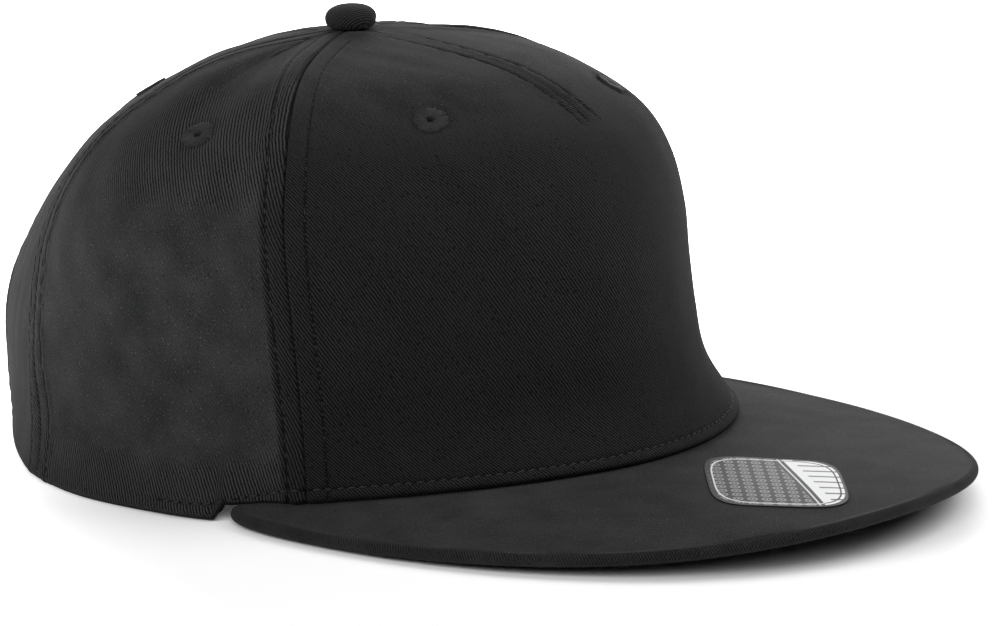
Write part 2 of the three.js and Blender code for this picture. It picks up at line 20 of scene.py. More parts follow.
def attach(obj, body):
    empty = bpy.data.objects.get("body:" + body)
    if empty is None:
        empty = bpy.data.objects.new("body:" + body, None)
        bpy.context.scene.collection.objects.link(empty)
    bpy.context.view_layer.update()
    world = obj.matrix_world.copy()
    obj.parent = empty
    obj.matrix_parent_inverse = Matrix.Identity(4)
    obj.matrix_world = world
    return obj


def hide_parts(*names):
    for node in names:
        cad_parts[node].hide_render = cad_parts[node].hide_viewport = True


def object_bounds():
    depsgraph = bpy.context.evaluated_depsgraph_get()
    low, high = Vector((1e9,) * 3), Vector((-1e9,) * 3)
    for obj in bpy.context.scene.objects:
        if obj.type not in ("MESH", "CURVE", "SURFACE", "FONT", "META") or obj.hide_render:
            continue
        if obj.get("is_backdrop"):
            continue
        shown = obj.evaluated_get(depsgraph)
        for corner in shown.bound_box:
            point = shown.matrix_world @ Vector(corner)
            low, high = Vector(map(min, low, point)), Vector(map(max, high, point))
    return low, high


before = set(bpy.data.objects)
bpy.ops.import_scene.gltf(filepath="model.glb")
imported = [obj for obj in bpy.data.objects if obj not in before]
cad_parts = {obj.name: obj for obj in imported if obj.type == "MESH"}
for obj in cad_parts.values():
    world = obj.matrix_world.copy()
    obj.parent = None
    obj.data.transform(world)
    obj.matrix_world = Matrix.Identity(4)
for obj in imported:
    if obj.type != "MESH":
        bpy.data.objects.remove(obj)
CAD_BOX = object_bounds()

LOG = logging.getLogger("snapback_cap")
CLOTH_MAP = "cloth"
SEWING_MAP = "sewing"
# the touch map holds how clearly the ribs show, and the painted shade
TOUCH_MAP = "touch"
MM = 0.001
STITCH = 2.7 * MM
FAR = 0.1
Array = np.ndarray
BMesh = bmesh.types.BMesh
Material = bpy.types.Material
Object = bpy.types.Object


# Shared arithmetic


def smoothstep(value: Array, low: float, high: float) -> Array:
    """Ease a value from 0 at low to 1 at high.

    Args:
        value: The numbers to ease.
        low: Where the result starts to rise.
        high: Where the result reaches 1.

    Returns:
        Numbers from 0 to 1.
    """
    share = np.clip((np.asarray(value, float) - low) / (high - low), 0.0, 1.0)
    return share * share * (3.0 - 2.0 * share)


def bell(value: Array, middle: float, spread: float) -> Array:
    """Give a soft bump that is 1 at its middle.

    Args:
        value: Where the bump is read.
        middle: The place of its top.
        spread: The distance at which it falls to about a third.

    Returns:
        Numbers from 0 to 1.
    """
    return np.exp(-(((np.asarray(value, float) - middle) / spread) ** 2))


def tuck(distance: Array, width: float) -> Array:
    """Give a fold's roll: 1 at an edge and 0 from a width inwards."""
    return np.clip(1.0 - np.abs(distance) / width, 0.0, 1.0) ** 2


def unit(vectors: Array) -> Array:
    """Scale vectors to a length of one."""
    return vectors / np.maximum(np.linalg.norm(vectors, axis=-1, keepdims=True), 1e-12)


def running(steps: Array, axis: int = 0) -> Array:
    """Add up steps along an axis, starting from zero."""
    return np.concatenate([np.zeros_like(np.take(steps, [0], axis)), np.cumsum(steps, axis)], axis)


def between(places: Sequence[float], values: Sequence[float], at: Array) -> Array:
    """Read a smooth curve through table rows, with no overshoot.

    Args:
        places: The rows' places, rising.
        values: The rows' values.
        at: Where the curve is read.

    Returns:
        The values there.
    """
    x = np.asarray(places, float)
    y = np.asarray(values, float)
    rise = np.diff(y) / np.diff(x)
    product = rise[:-1] * rise[1:]
    total = np.where(product > 0, rise[:-1] + rise[1:], 1.0)
    slope = np.zeros(len(x))
    slope[1:-1] = np.where(product > 0, 2.0 * product / total, 0.0)
    at = np.clip(np.asarray(at, float), x[0], x[-1])
    k = np.clip(np.searchsorted(x, at, side="left") - 1, 0, len(x) - 2)
    step = x[k + 1] - x[k]
    t = (at - x[k]) / step
    ends = y[k] * (1 + 2 * t) * (1 - t) ** 2 + y[k + 1] * t * t * (3 - 2 * t)
    return ends + step * t * (1 - t) * (slope[k] * (1 - t) - slope[k + 1] * t)


def bisect(shape: tuple[int, ...], low: float, high: float, above: Callable[[Array], Array], steps: int) -> Array:
    """Find where a test turns true, by halving a stretch.

    Args:
        shape: The shape of the numbers that are looked for.
        low: Where the stretch starts.
        high: Where it ends.
        above: Tells which of the numbers it is given are too high.
        steps: How often the stretch is halved.

    Returns:
        The numbers.
    """
    lows, highs = np.full(shape, low), np.full(shape, high)
    for _ in range(steps):
        middle = (lows + highs) / 2
        over = above(middle)
        lows, highs = np.where(over, lows, middle), np.where(over, middle, highs)
    return (lows + highs) / 2


def wander(along: Array, length: float, seed: float) -> Array:
    """Give an uneven wave, as cloth puckers along a row of stitches.

    Args:
        along: The distance along the row.
        length: The usual distance from one pucker to the next.
        seed: A number that shifts the wave.

    Returns:
        Numbers from about -1 to 1.
    """
    turn = 2 * math.pi * np.asarray(along, float) / length
    slow = 1.6 * np.sin(turn * 0.21 + 2.3 * seed)
    return 0.6 * np.sin(turn + slow + seed) + 0.4 * np.sin(1.73 * turn - 1.4 * slow + 4.1 * seed)


def ripple(across: Array, along: Array, length: float, seed: int) -> Array:
    """Give a soft unevenness over a surface, from waves in several directions.

    Args:
        across: The first surface coordinate.
        along: The second surface coordinate.
        length: The usual distance between swells.
        seed: Which pattern of waves is drawn.

    Returns:
        Numbers from about -1 to 1.
    """
    draw = np.random.default_rng(seed)
    total = np.zeros(np.broadcast(across, along).shape)
    waves = 7
    for _ in range(waves):
        turn, phase = draw.uniform(0, 2 * math.pi, 2)
        pace = 2 * math.pi / (length * draw.uniform(0.6, 1.7))
        total = total + np.sin(pace * (across * math.cos(turn) + along * math.sin(turn)) + phase)
    return total / waves * 1.6


def spaced(length: float, coarse: float, marks: Sequence[tuple[float, float, float]]) -> Array:
    """Choose places along a length, closer together around some marks.

    Args:
        length: The whole length.
        coarse: The spacing away from the marks.
        marks: The middle and the reach of each closer stretch, and its spacing.

    Returns:
        Shares of the length from 0 to 1, both ends among them.
    """
    ground = np.linspace(0.0, length, 6000)
    spacing = np.full(ground.shape, coarse)
    for middle, reach, fine in marks:
        away = np.maximum(np.abs(ground - middle) - reach, 0.0)
        spacing = np.minimum(spacing, fine + (coarse - fine) * smoothstep(away, 0.0, 4 * coarse))
    count = running(np.diff(ground) / spacing[1:])
    wanted = np.linspace(0.0, count[-1], int(math.ceil(count[-1])) + 1)
    return np.interp(wanted, count, ground) / length


# The crown's form


@dataclass(frozen=True)
class Dent:
    """A dent or swell of the soft cloth; push is a share of the crown's height, outwards."""

    angle: float
    spread: float
    up: float
    reach: float
    lean: float
    push: float


@dataclass(frozen=True)
class CrownForm:
    """The surface that the crown's panels are laid on."""

    half_width: float = 94.5 * MM
    front_reach: float = 103.7 * MM
    back_reach: float = 94.3 * MM
    height: float = 102.3 * MM
    front_lift: float = 9.9 * MM
    step_start: float = 70.0
    step_end: float = 71.6
    hem_start: float = 60.0
    hem_end: float = 76.0
    drape_start: float = 52.0
    drape_end: float = 92.0
    heights: tuple[float, ...] = (0, 0.14, 0.28, 0.42, 0.56, 0.69, 0.80, 0.885, 0.945, 0.98, 1)
    fronts: tuple[float, ...] = (1, 0.915, 0.888, 0.870, 0.856, 0.824, 0.767, 0.654, 0.516, 0.310, 0)
    sides: tuple[float, ...] = (1, 0.939, 0.920, 0.903, 0.883, 0.836, 0.745, 0.609, 0.461, 0.270, 0)
    backs: tuple[float, ...] = (1, 1.057, 1.054, 0.977, 0.863, 0.732, 0.591, 0.434, 0.297, 0.164, 0)
    corner_ups: tuple[float, ...] = (0, 0.35, 0.70, 1)
    front_corners: tuple[float, ...] = (-0.026, -0.045, -0.020, 0.070)
    back_corners: tuple[float, ...] = (-0.089, -0.057, -0.037, -0.006)
    seam_ups: tuple[float, ...] = (0, 0.5, 1)
    front_seams: tuple[float, ...] = (58.3, 63.0, 72.2)
    back_seams: tuple[float, ...] = (105.7, 122.0, 127.7)
    dents: tuple[Dent, ...] = (
        Dent(-65.6, 3.0, 0.05, 0.07, -25, -0.020),
        Dent(-66.0, 1.7, 0.115, 0.06, -20, 0.007),
        Dent(-70.2, 2.6, 0.13, 0.10, -15, -0.010),
        Dent(-76.5, 3.4, 0.10, 0.12, -10, 0.006),
        Dent(-72.0, 6.0, 0.36, 0.16, 0, -0.008),
        Dent(-88.0, 7.5, 0.74, 0.15, -20, -0.019),
        Dent(-93.0, 13.0, 0.40, 0.13, 0, 0.008),
        Dent(-110.0, 4.0, 0.12, 0.12, 0, 0.010),
        Dent(-34.0, 12.0, 0.16, 0.12, 20, -0.012),
        Dent(-17.0, 6.0, 0.10, 0.09, 30, -0.009),
        Dent(36.0, 12.0, 0.15, 0.12, -20, -0.008),
        Dent(78.0, 7.0, 0.20, 0.14, 10, -0.012),
        Dent(92.0, 8.0, 0.72, 0.15, 15, -0.013),
        Dent(135.0, 10.0, 0.45, 0.15, 0, -0.009),
        Dent(-140.0, 9.0, 0.50, 0.14, 0, -0.008),
    )

    def outline(self, rows: Sequence[float], up: Array, mirrored: bool = True) -> Array:
        """Read one column of the outline.

        Args:
            rows: The column's values, from the rim to the button.
            up: The shares of the way up.
            mirrored: Whether the column changes its sign past the button.

        Returns:
            The smooth values there.
        """
        past = -rows[-2] if mirrored else rows[-2]
        r = np.array([2 * rows[0] - rows[1], *rows, past], float)
        last = len(rows) - 1
        place = np.asarray(up, float) * last
        i = np.clip(np.floor(place).astype(int), 0, last - 1)
        t = place - i
        a, b, c, d = r[i], r[i + 1], r[i + 2], r[i + 3]
        square = (2 * a - 5 * b + 4 * c - d) * t * t
        return 0.5 * (2 * b + (c - a) * t + square + (3 * b - a - 3 * c + d) * t**3)

    def seat_height(self, x: Array) -> Array:
        """Give the height of the peak's seat at a distance to the side."""
        across = np.minimum(np.abs(x) / self.half_width, 0.93)
        return self.front_lift * (1 - 0.4 * across**2 - 0.4 * across**4)

    def drop(self, angle: Array, x: Array, start: float, end: float) -> Array:
        """Give a height that falls from the peak's seat to the floor between two angles."""
        side = np.abs(np.asarray(angle, float))
        side = np.where(side > 180, 360 - side, side)
        return self.seat_height(x) * (1 - smoothstep(side, start, end))

    def rim_height(self, angle: Array, x: Array) -> Array:
        """Give the height of the crown's lower edge."""
        return self.drop(angle, x, self.step_start, self.step_end)

    def hem_gap(self, angle: Array) -> Array:
        """Give how far the lower edge lies above the line that the hem's stitches follow."""
        x = self.drape(angle)[0]
        return self.rim_height(angle, x) - self.drop(angle, x, self.hem_start, self.hem_end)

    def corner(self, angle: Array, up: Array) -> Array:
        """Give how much fuller than an ellipse the crown is at its corners, as a share."""
        s, c = np.sin(np.radians(angle)), np.cos(np.radians(angle))
        front = between(self.corner_ups, self.front_corners, up)
        back = between(self.corner_ups, self.back_corners, up)
        return np.where(c > 0, front, back) * (2 * s * c) ** 2

    def drape(self, angle: Array) -> tuple[Array, Array]:
        """Give the side distance of the rim, and the height where the cloth's shape starts."""
        x = self.half_width * np.sin(np.radians(angle)) * (1 + self.corner(angle, np.zeros_like(angle)))
        return x, self.drop(angle, x, self.drape_start, self.drape_end)

    def foot(self, angle: Array) -> Array:
        """Give the share of the way up at which the crown's lower edge lies."""
        angle = np.asarray(angle, float)
        x, start = self.drape(angle)
        wanted = (self.rim_height(angle, x) - start) / (self.height - start)
        return bisect(angle.shape, -0.06, 0.08, lambda up: self.outline(self.heights, up, False) > wanted, 16)

    def plain(self, angle: Array, up: Array) -> Array:
        """Give points of the crown without its dents.

        Args:
            angle: Degrees from the middle of the front.
            up: Shares of the way up.

        Returns:
            Points, with their coordinates along the last axis.
        """
        angle, up = np.broadcast_arrays(np.asarray(angle, float), np.asarray(up, float))
        s, c = np.sin(np.radians(angle)), np.cos(np.radians(angle))
        front = self.front_reach * self.outline(self.fronts, up)
        back = self.back_reach * self.outline(self.backs, up)
        fuller = 1 + self.corner(angle, up)
        x = self.half_width * self.outline(self.sides, up) * s * fuller
        y = -np.where(c > 0, front, back) * c * fuller
        start = self.drape(angle)[1]
        z = start + (self.height - start) * self.outline(self.heights, up, mirrored=False)
        return np.stack([x, y, z], axis=-1)

    def outward(self, angle: Array, up: Array) -> Array:
        """Give the outward directions of the plain crown."""
        turn, climb = 0.2, 0.002
        across = self.plain(angle + turn, up) - self.plain(angle - turn, up)
        along = self.plain(angle, up + climb) - self.plain(angle, up - climb)
        return unit(np.cross(across, along))

    def push(self, angle: Array, up: Array) -> Array:
        """Give how far dents and swells move the cloth outwards."""
        turned = (np.asarray(angle, float) + 540) % 360 - 180
        total = np.zeros(np.broadcast(turned, up).shape)
        for dent in self.dents:
            away = (turned - dent.angle - dent.lean * (up - dent.up)) / dent.spread
            total = total + dent.push * self.height * np.exp(-(away**2) - ((up - dent.up) / dent.reach) ** 2)
        return total

    def surface(self, angle: Array, up: Array, relief: Array) -> Array:
        """Give points of the crown, raised by a relief, which is level at the rim.

        Args:
            angle: Degrees from the middle of the front.
            up: Shares of the way up.
            relief: Distances outwards.

        Returns:
            Points, with their coordinates along the last axis.
        """
        angle, up, relief = np.broadcast_arrays(np.asarray(angle, float), up, relief)
        normal = self.outward(angle, up)
        normal[..., 2] *= smoothstep(up - self.foot(angle), 0.0, 0.045)
        return self.plain(angle, up) + unit(normal) * relief[..., None]

    def per_degree(self, angle: Array, up: Array) -> Array:
        """Give the length of one degree along the crown."""
        return np.linalg.norm(self.plain(angle + 0.5, up) - self.plain(angle - 0.5, up), axis=-1)

    def rim_pace(self, angle: float) -> float:
        """Give the length of one degree along the rim."""
        return float(self.per_degree(np.array(angle), np.array(0.0)))

    def inside(self, angle: Array, height: Array, depth: Array) -> Array:
        """Give points inside the crown at a height, at a depth from the plain surface.

        Args:
            angle: Degrees from the middle of the front.
            height: Heights of the points.
            depth: Distances inwards.

        Returns:
            Points, with their coordinates along the last axis.
        """
        angle, height, depth = np.broadcast_arrays(np.asarray(angle, float), height, depth)

        def at(up: Array) -> Array:
            return self.plain(angle, up) - self.outward(angle, up) * depth[..., None]

        return at(bisect(angle.shape, -0.1, 1.0, lambda up: at(up)[..., 2] > height, 18))

    def up_at_radius(self, angle: Array, radius: float) -> Array:
        """Give the share of the way up at which the crown comes within a radius of its axis."""

        def close(up: Array) -> Array:
            point = self.plain(angle, up)
            return np.hypot(point[..., 0], point[..., 1]) < radius

        return bisect(np.shape(angle), 0.0, 1.0, close, 18)

    def back_place(self, x: Array, z: Array) -> tuple[Array, Array]:
        """Find where a point on the back of the crown lies.

        Args:
            x: Distances to the wearer's left.
            z: Heights.

        Returns:
            The angles and the shares of the way up.
        """
        x, z = np.broadcast_arrays(np.asarray(x, float), np.asarray(z, float))
        angle = 180 - np.degrees(np.arcsin(np.clip(x / self.half_width, -1, 1)))
        for _ in range(12):
            up = bisect(x.shape, -0.1, 1.0, lambda share, turn=angle: self.plain(turn, share)[..., 2] > z, 16)
            angle = angle - (x - self.plain(angle, up)[..., 0]) / self.per_degree(angle, up)
        return angle, up


# Shader nodes


class Wire:
    """A shader value, with arithmetic that adds Math nodes."""

    def __init__(self, recipe: "Recipe", socket: bpy.types.NodeSocket) -> None:
        """Wrap a socket of a recipe's tree."""
        self.recipe = recipe
        self.socket = socket

    def math(self, operation: str, *others: "Wire | float", swapped: bool = False) -> "Wire":
        """Add one Math node.

        Args:
            operation: The node's operation.
            others: The values after this one.
            swapped: Whether this value comes second.

        Returns:
            The node's result.
        """
        values = [self, *others]
        if swapped:
            values.reverse()
        return self.recipe.wire("ShaderNodeMath", {"operation": operation}, dict(enumerate(values)))

    def __add__(self, other: "Wire | float") -> "Wire":
        """Add."""
        return self.math("ADD", other)

    __radd__ = __add__

    def __mul__(self, other: "Wire | float") -> "Wire":
        """Multiply."""
        return self.math("MULTIPLY", other)

    __rmul__ = __mul__

    def __sub__(self, other: "Wire | float") -> "Wire":
        """Subtract."""
        return self.math("SUBTRACT", other)

    def __rsub__(self, other: "Wire | float") -> "Wire":
        """Subtract from a number."""
        return self.math("SUBTRACT", other, swapped=True)

    def __truediv__(self, other: "Wire | float") -> "Wire":
        """Divide."""
        return self.math("DIVIDE", other)

    def __pow__(self, other: "Wire | float") -> "Wire":
        """Raise to a power."""
        return self.math("POWER", other)

    def clamp(self) -> "Wire":
        """Keep the value from 0 to 1."""
        return self.math("MINIMUM", 1.0).math("MAXIMUM", 0.0)

    def wave(self) -> "Wire":
        """Turn a count of periods into a wave from 0 to 1, with 1 at whole counts."""
        return (self * (2 * math.pi)).math("COSINE") * 0.5 + 0.5

    def ease(self, low: float, high: float) -> "Wire":
        """Ease the value from 0 at low to 1 at high."""
        settings = {"interpolation_type": "SMOOTHSTEP"}
        inputs = {"Value": self, "From Min": low, "From Max": high}
        return self.recipe.wire("ShaderNodeMapRange", settings, inputs)


class Recipe:
    """One material and the nodes in it."""

    def __init__(self, name: str) -> None:
        """Start a material with an empty tree."""
        self.material = bpy.data.materials.new(name)
        self.material.use_nodes = True
        self.tree = self.material.node_tree
        self.tree.nodes.clear()

    def node(self, kind: str, settings: dict | None = None, inputs: dict | None = None) -> bpy.types.Node:
        """Add a node.

        Args:
            kind: The node's type.
            settings: Its properties, set first.
            inputs: Values or links of its sockets, by name or number.

        Returns:
            The node.
        """
        node = self.tree.nodes.new(kind)
        for key, value in (settings or {}).items():
            setattr(node, key, value)
        for key, value in (inputs or {}).items():
            if isinstance(value, Wire):
                self.tree.links.new(value.socket, node.inputs[key])
            else:
                node.inputs[key].default_value = value
        return node

    def wire(
        self, kind: str, settings: dict | None = None, inputs: dict | None = None, output: int | str = 0
    ) -> Wire:
        """Add a node and wrap one of its outputs."""
        return Wire(self, self.node(kind, settings, inputs).outputs[output])

    def blend(self, share: Wire, low: Wire | tuple, high: Wire | tuple) -> Wire:
        """Mix two colours.

        Args:
            share: 0 for the first, 1 for the second.
            low: The first colour.
            high: The second colour.

        Returns:
            The mixed colour.
        """
        return self.wire("ShaderNodeMix", {"data_type": "RGBA"}, {0: share, 6: low, 7: high}, 2)

    def map_place(self, name: str = CLOTH_MAP) -> tuple[Wire, Wire, Wire]:
        """Read one of the piece's own maps.

        Args:
            name: The map.

        Returns:
            The map as a vector, and its two coordinates.
        """
        place = self.wire("ShaderNodeUVMap", {"uv_map": name})
        split = self.node("ShaderNodeSeparateXYZ", {}, {0: place})
        return place, Wire(self, split.outputs[0]), Wire(self, split.outputs[1])

    def object_place(self) -> Wire:
        """Read Object coordinates."""
        return self.wire("ShaderNodeTexCoord", {}, {}, "Object")

    def noise(self, place: Wire, scale: float, detail: float = 2.0, flat: bool = False) -> Wire:
        """Add a noise texture.

        Args:
            place: Where it is read.
            scale: Its scale per metre.
            detail: Its detail.
            flat: Whether it has two dimensions.

        Returns:
            Its value, about 0.5 on average.
        """
        settings = {"noise_dimensions": "2D" if flat else "3D"}
        return self.wire("ShaderNodeTexNoise", settings, {"Vector": place, "Scale": scale, "Detail": detail})

    def stretched(self, place: Wire, stretch: tuple[float, float, float], turn: float = 0.0) -> Wire:
        """Scale and turn coordinates with a Mapping node."""
        inputs = {"Vector": place, "Scale": stretch, "Rotation": (0.0, 0.0, turn)}
        return self.wire("ShaderNodeMapping", {"vector_type": "POINT"}, inputs)

    def bump(self, height: Wire, distance: float) -> Wire:
        """Turn a height into a bumped normal; a height of 1 stands for the distance."""
        return self.wire("ShaderNodeBump", {}, {"Height": height, "Distance": distance, "Strength": 1.0})

    def surface(self, colour: Wire, roughness: Wire | float, level: float, others: dict | None = None) -> Material:
        """Close the material with its surface shader.

        Args:
            colour: The base colour.
            roughness: The roughness.
            level: The level of the gloss.
            others: Values or links of other sockets of the shader.

        Returns:
            The finished material.
        """
        inputs = {"Base Color": colour, "Roughness": roughness, "Specular IOR Level": level, **(others or {})}
        shader = self.wire("ShaderNodeBsdfPrincipled", {}, inputs, "BSDF")
        self.node("ShaderNodeOutputMaterial", {}, {"Surface": shader})
        return self.material


def grey(value: float, cool: float = 0.0) -> tuple[float, float, float, float]:
    """Give a grey colour, with some more blue where cool is above 0."""
    return (value * (1 - 0.4 * cool), value * (1 - 0.2 * cool), value * (1 + cool), 1.0)


@dataclass(frozen=True)
class Twill:
    """Washed cotton twill: slanted ribs of short floats, lint, needle holes, a soft bloom and painted shade."""

    name: str = "twill"
    pitch: float = 0.76 * MM
    float_length: float = 1.6 * MM
    depth: float = 0.22 * MM
    valley: float = 0.0006
    rib: float = 0.032
    lint: float = 0.10
    sheen: float = 0.04
    hole_reach: float = 0.42 * MM
    hole_spread: float = 0.30 * MM
    line_spread: float = 0.45 * MM

    def needle_marks(self, recipe: Recipe) -> tuple[Wire, Wire]:
        """Read the sewing map.

        Args:
            recipe: The material.

        Returns:
            The needle's holes, and the pulled-in line between them.
        """
        _, away, along = recipe.map_place(SEWING_MAP)
        from_middle = ((along / STITCH).math("FRACT") - 0.5).math("ABSOLUTE")
        from_hole = (0.5 - from_middle) * (STITCH / self.hole_reach)
        across = away / self.hole_spread
        hole = (1.0 - (across * across + from_hole * from_hole)).clamp().ease(0.0, 0.55)
        line = (1.0 - (away / self.line_spread).math("ABSOLUTE")).clamp().ease(0.0, 0.7)
        line = line * from_middle.ease(0.46, 0.34)
        return hole, line

    def build(self) -> Material:
        """Make the material."""
        recipe = Recipe(self.name)
        place, along, across = recipe.map_place()
        _, strength, painted_shade = recipe.map_place(TOUCH_MAP)
        hole, line = self.needle_marks(recipe)
        uneven = recipe.noise(place, 520.0, 2.0, flat=True) - 0.5
        count = across / self.pitch + uneven * 0.42
        shift = (count.math("FLOOR") * 0.382).math("FRACT")
        floats = (along / self.float_length + shift + uneven * 0.9).wave()
        rib = count.wave() * (0.72 + floats * 0.28)
        fuzz = recipe.noise(place, 3600.0, 3.0, flat=True)
        broad = recipe.noise(place, 95.0, 4.0, flat=True)
        patch = recipe.noise(place, 22.0, 3.0, flat=True)
        share = 0.50 + (rib - 0.45) * strength * 2.2 + (fuzz - 0.5) * 1.3
        share = share + (broad - 0.5) * 0.6 + (patch - 0.5) * 0.35
        colour = recipe.blend(share.clamp(), grey(self.valley, 0.04), grey(self.rib, 0.03))
        stretched = recipe.stretched(place, (1.0, 1.8, 1.0), 0.5)
        dust = recipe.noise(place, 1900.0, 2.0, flat=True).ease(0.66, 0.80)
        specks = recipe.noise(stretched, 1150.0, 2.5, flat=True).ease(0.74, 0.84)
        hairs = recipe.noise(recipe.stretched(place, (1.0, 7.0, 1.0), 0.6), 300.0, 2.0, flat=True)
        lint = (dust * 0.55 + specks * 0.7 + hairs.ease(0.72, 0.80) * 0.2) * (1.12 - strength)
        pits = recipe.noise(place, 1250.0, 1.0, flat=True).ease(0.33, 0.24)
        colour = recipe.blend(lint.clamp(), colour, grey(self.lint, 0.03))
        # painted shade: darker needle holes, a darker dashed line where each stitch row sinks, and the touch map's
        # painted shade
        shade = (hole * 0.75 + line * 0.75 + pits * 0.6 + painted_shade).clamp()
        colour = recipe.blend(shade, colour, grey(0.0005, 0.1))
        height = rib * strength + fuzz * 0.35 + lint * 0.35 - hole * 1.4 - line * 0.5 - pits * 0.3
        bloom = {"Sheen Weight": self.sheen, "Sheen Roughness": 0.45, "Sheen Tint": grey(0.85, 0.02)}
        others = {"Normal": recipe.bump(height, self.depth), **bloom}
        return recipe.surface(colour, 0.86 + (fuzz - 0.5) * 0.2, 0.08, others)


@dataclass(frozen=True)
class Thread:
    """Twisted polyester sewing thread, a little glossier than the cloth."""

    name: str = "thread"
    colour: float = 0.015

    def build(self) -> Material:
        """Make the material."""
        recipe = Recipe(self.name)
        place = recipe.object_place()
        fibre = recipe.noise(place, 6500.0, 2.0)
        tone = recipe.noise(place, 240.0, 2.0)
        share = (fibre * 0.8 + (tone - 0.5) * 0.8).clamp()
        colour = recipe.blend(share, grey(self.colour * 0.4, 0.1), grey(self.colour * 1.7, 0.06))
        others = {"Normal": recipe.bump(fibre, 0.10 * MM), "Sheen Weight": 0.06, "Sheen Roughness": 0.35}
        return recipe.surface(colour, 0.50 + fibre * 0.25, 0.20, others)


@dataclass(frozen=True)
class Lining:
    """Plain-woven cotton tape of the sweatband."""

    name: str = "lining"
    pitch: float = 0.55 * MM

    def build(self) -> Material:
        """Make the material."""
        recipe = Recipe(self.name)
        place, along, across = recipe.map_place()
        uneven = recipe.noise(place, 500.0, 2.0, flat=True) - 0.5
        first = (along / self.pitch + uneven * 0.4).wave()
        second = (across / self.pitch + uneven * 0.4).wave()
        weave = first * second
        fuzz = recipe.noise(place, 4200.0, 3.0, flat=True)
        broad = recipe.noise(place, 60.0, 3.0, flat=True)
        share = (weave * 0.5 + fuzz * 0.4 + (broad - 0.5) * 0.8).clamp()
        colour = recipe.blend(share, grey(0.003, 0.08), grey(0.013, 0.08))
        normal = recipe.bump(weave + fuzz * 0.3, 0.12 * MM)
        others = {"Normal": normal, "Sheen Weight": 0.05, "Sheen Roughness": 0.5}
        return recipe.surface(colour, 0.85 + (fuzz - 0.5) * 0.2, 0.1, others)


@dataclass(frozen=True)
class StrapPlastic:
    """Moulded black plastic with a satin skin and light handling marks."""

    name: str = "strap_plastic"

    def build(self) -> Material:
        """Make the material."""
        recipe = Recipe(self.name)
        place = recipe.object_place()
        grain = recipe.noise(place, 2600.0, 2.0)
        haze = recipe.noise(place, 130.0, 4.0)
        scratch = recipe.noise(recipe.stretched(place, (0.25, 1.0, 6.0)), 900.0, 1.0).ease(0.66, 0.74)
        colour = recipe.blend((haze + scratch * 0.4).clamp(), grey(0.007, 0.08), grey(0.017, 0.05))
        normal = recipe.bump(grain * 0.7 + scratch * 0.2, 0.03 * MM)
        return recipe.surface(colour, 0.34 + haze * 0.16 + scratch * 0.15, 0.5, {"Normal": normal})


@dataclass(frozen=True)
class LabelPaper:
    """A coated paper sticker with a plain printed pattern: rings, thin lines and a pale end."""

    name: str = "label_paper"
    half_length: float = 22.0 * MM
    half_width: float = 16.25 * MM

    def build(self) -> Material:
        """Make the material."""
        recipe = Recipe(self.name)
        place, x, y = recipe.map_place()
        along, across = (x / self.half_length).math("ABSOLUTE"), (y / self.half_width).math("ABSOLUTE")
        reach = (along**4.0 + across**4.0) ** 0.25
        cells = recipe.node(
            "ShaderNodeTexVoronoi",
            {"voronoi_dimensions": "2D"},
            {"Vector": place, "Scale": 300.0, "Randomness": 0.0},
        )
        middle = Wire(recipe, cells.outputs["Distance"])
        ring = (1.0 - ((middle - 0.30).math("ABSOLUTE") / 0.10)).clamp()
        dot = 1.0 - middle.ease(0.07, 0.12)
        slant = y + x * 0.16
        field = (ring + dot).clamp() * (1.0 - slant.ease(4.4 * MM, 4.6 * MM)) * 0.45
        lines = (1.0 - ((slant - 5.5 * MM).math("ABSOLUTE") / (0.30 * MM)).clamp()).ease(0.0, 0.5)
        end = slant.ease(6.6 * MM, 6.8 * MM)
        stripes = (x / (5.2 * MM)).wave().ease(0.86, 0.92) * slant.ease(9.0 * MM, 9.1 * MM)
        pale = (field + lines * 0.85 + end * (1.0 - stripes * 0.85)).clamp()
        inset = (1.0 - ((reach - 0.905).math("ABSOLUTE") / 0.016).clamp()).ease(0.0, 0.5)
        margin = reach.ease(0.955, 0.965)
        pale = (pale * (1.0 - inset) + inset * (1.0 - end) * 0.85) * (1.0 - margin)
        grain = recipe.noise(place, 2500.0, 2.0, flat=True)
        colour = recipe.blend((pale + (grain - 0.5) * 0.06).clamp(), grey(0.007, 0.08), grey(0.62, 0.01))
        normal = recipe.bump(grain, 0.02 * MM)
        return recipe.surface(colour, 0.55 + (grain - 0.5) * 0.15, 0.12, {"Normal": normal})


@dataclass(frozen=True)
class PaleFloor:
    """Smooth white studio floor that glows all around the cap, as a lit backdrop does."""

    name: str = "pale_floor"
    glow: float = 2.0
    ramp: tuple[float, float] = (0.11, 0.26)
    unlit: tuple[float, float, float] = (0.03, 0.12, 0.0)

    def build(self) -> Material:
        """Make the material."""
        recipe = Recipe(self.name)
        place = recipe.object_place()
        tone = recipe.noise(place, 3.0, 3.0)
        colour = recipe.blend(tone, grey(0.93), grey(0.97))
        moved = recipe.wire("ShaderNodeVectorMath", {"operation": "ADD"}, {0: place, 1: self.unlit})
        away = recipe.wire("ShaderNodeVectorMath", {"operation": "LENGTH"}, {0: moved}, "Value")
        glow = {"Emission Color": away.ease(*self.ramp), "Emission Strength": self.glow}
        return recipe.surface(colour, 0.6, 0.15, glow)


class Slot(Enum):
    """The material slots."""

    TWILL = "twill"
    THREAD = "thread"
    LINING = "lining"
    PLASTIC = "strap_plastic"
    PAPER = "label_paper"


class Wardrobe:
    """The finished materials, one for each slot."""

    def __init__(self) -> None:
        """Build every material once."""
        self.materials = {
            Slot.TWILL: Twill().build(),
            Slot.THREAD: Thread().build(),
            Slot.LINING: Lining().build(),
            Slot.PLASTIC: StrapPlastic().build(),
            Slot.PAPER: LabelPaper().build(),
        }


# Mesh helpers


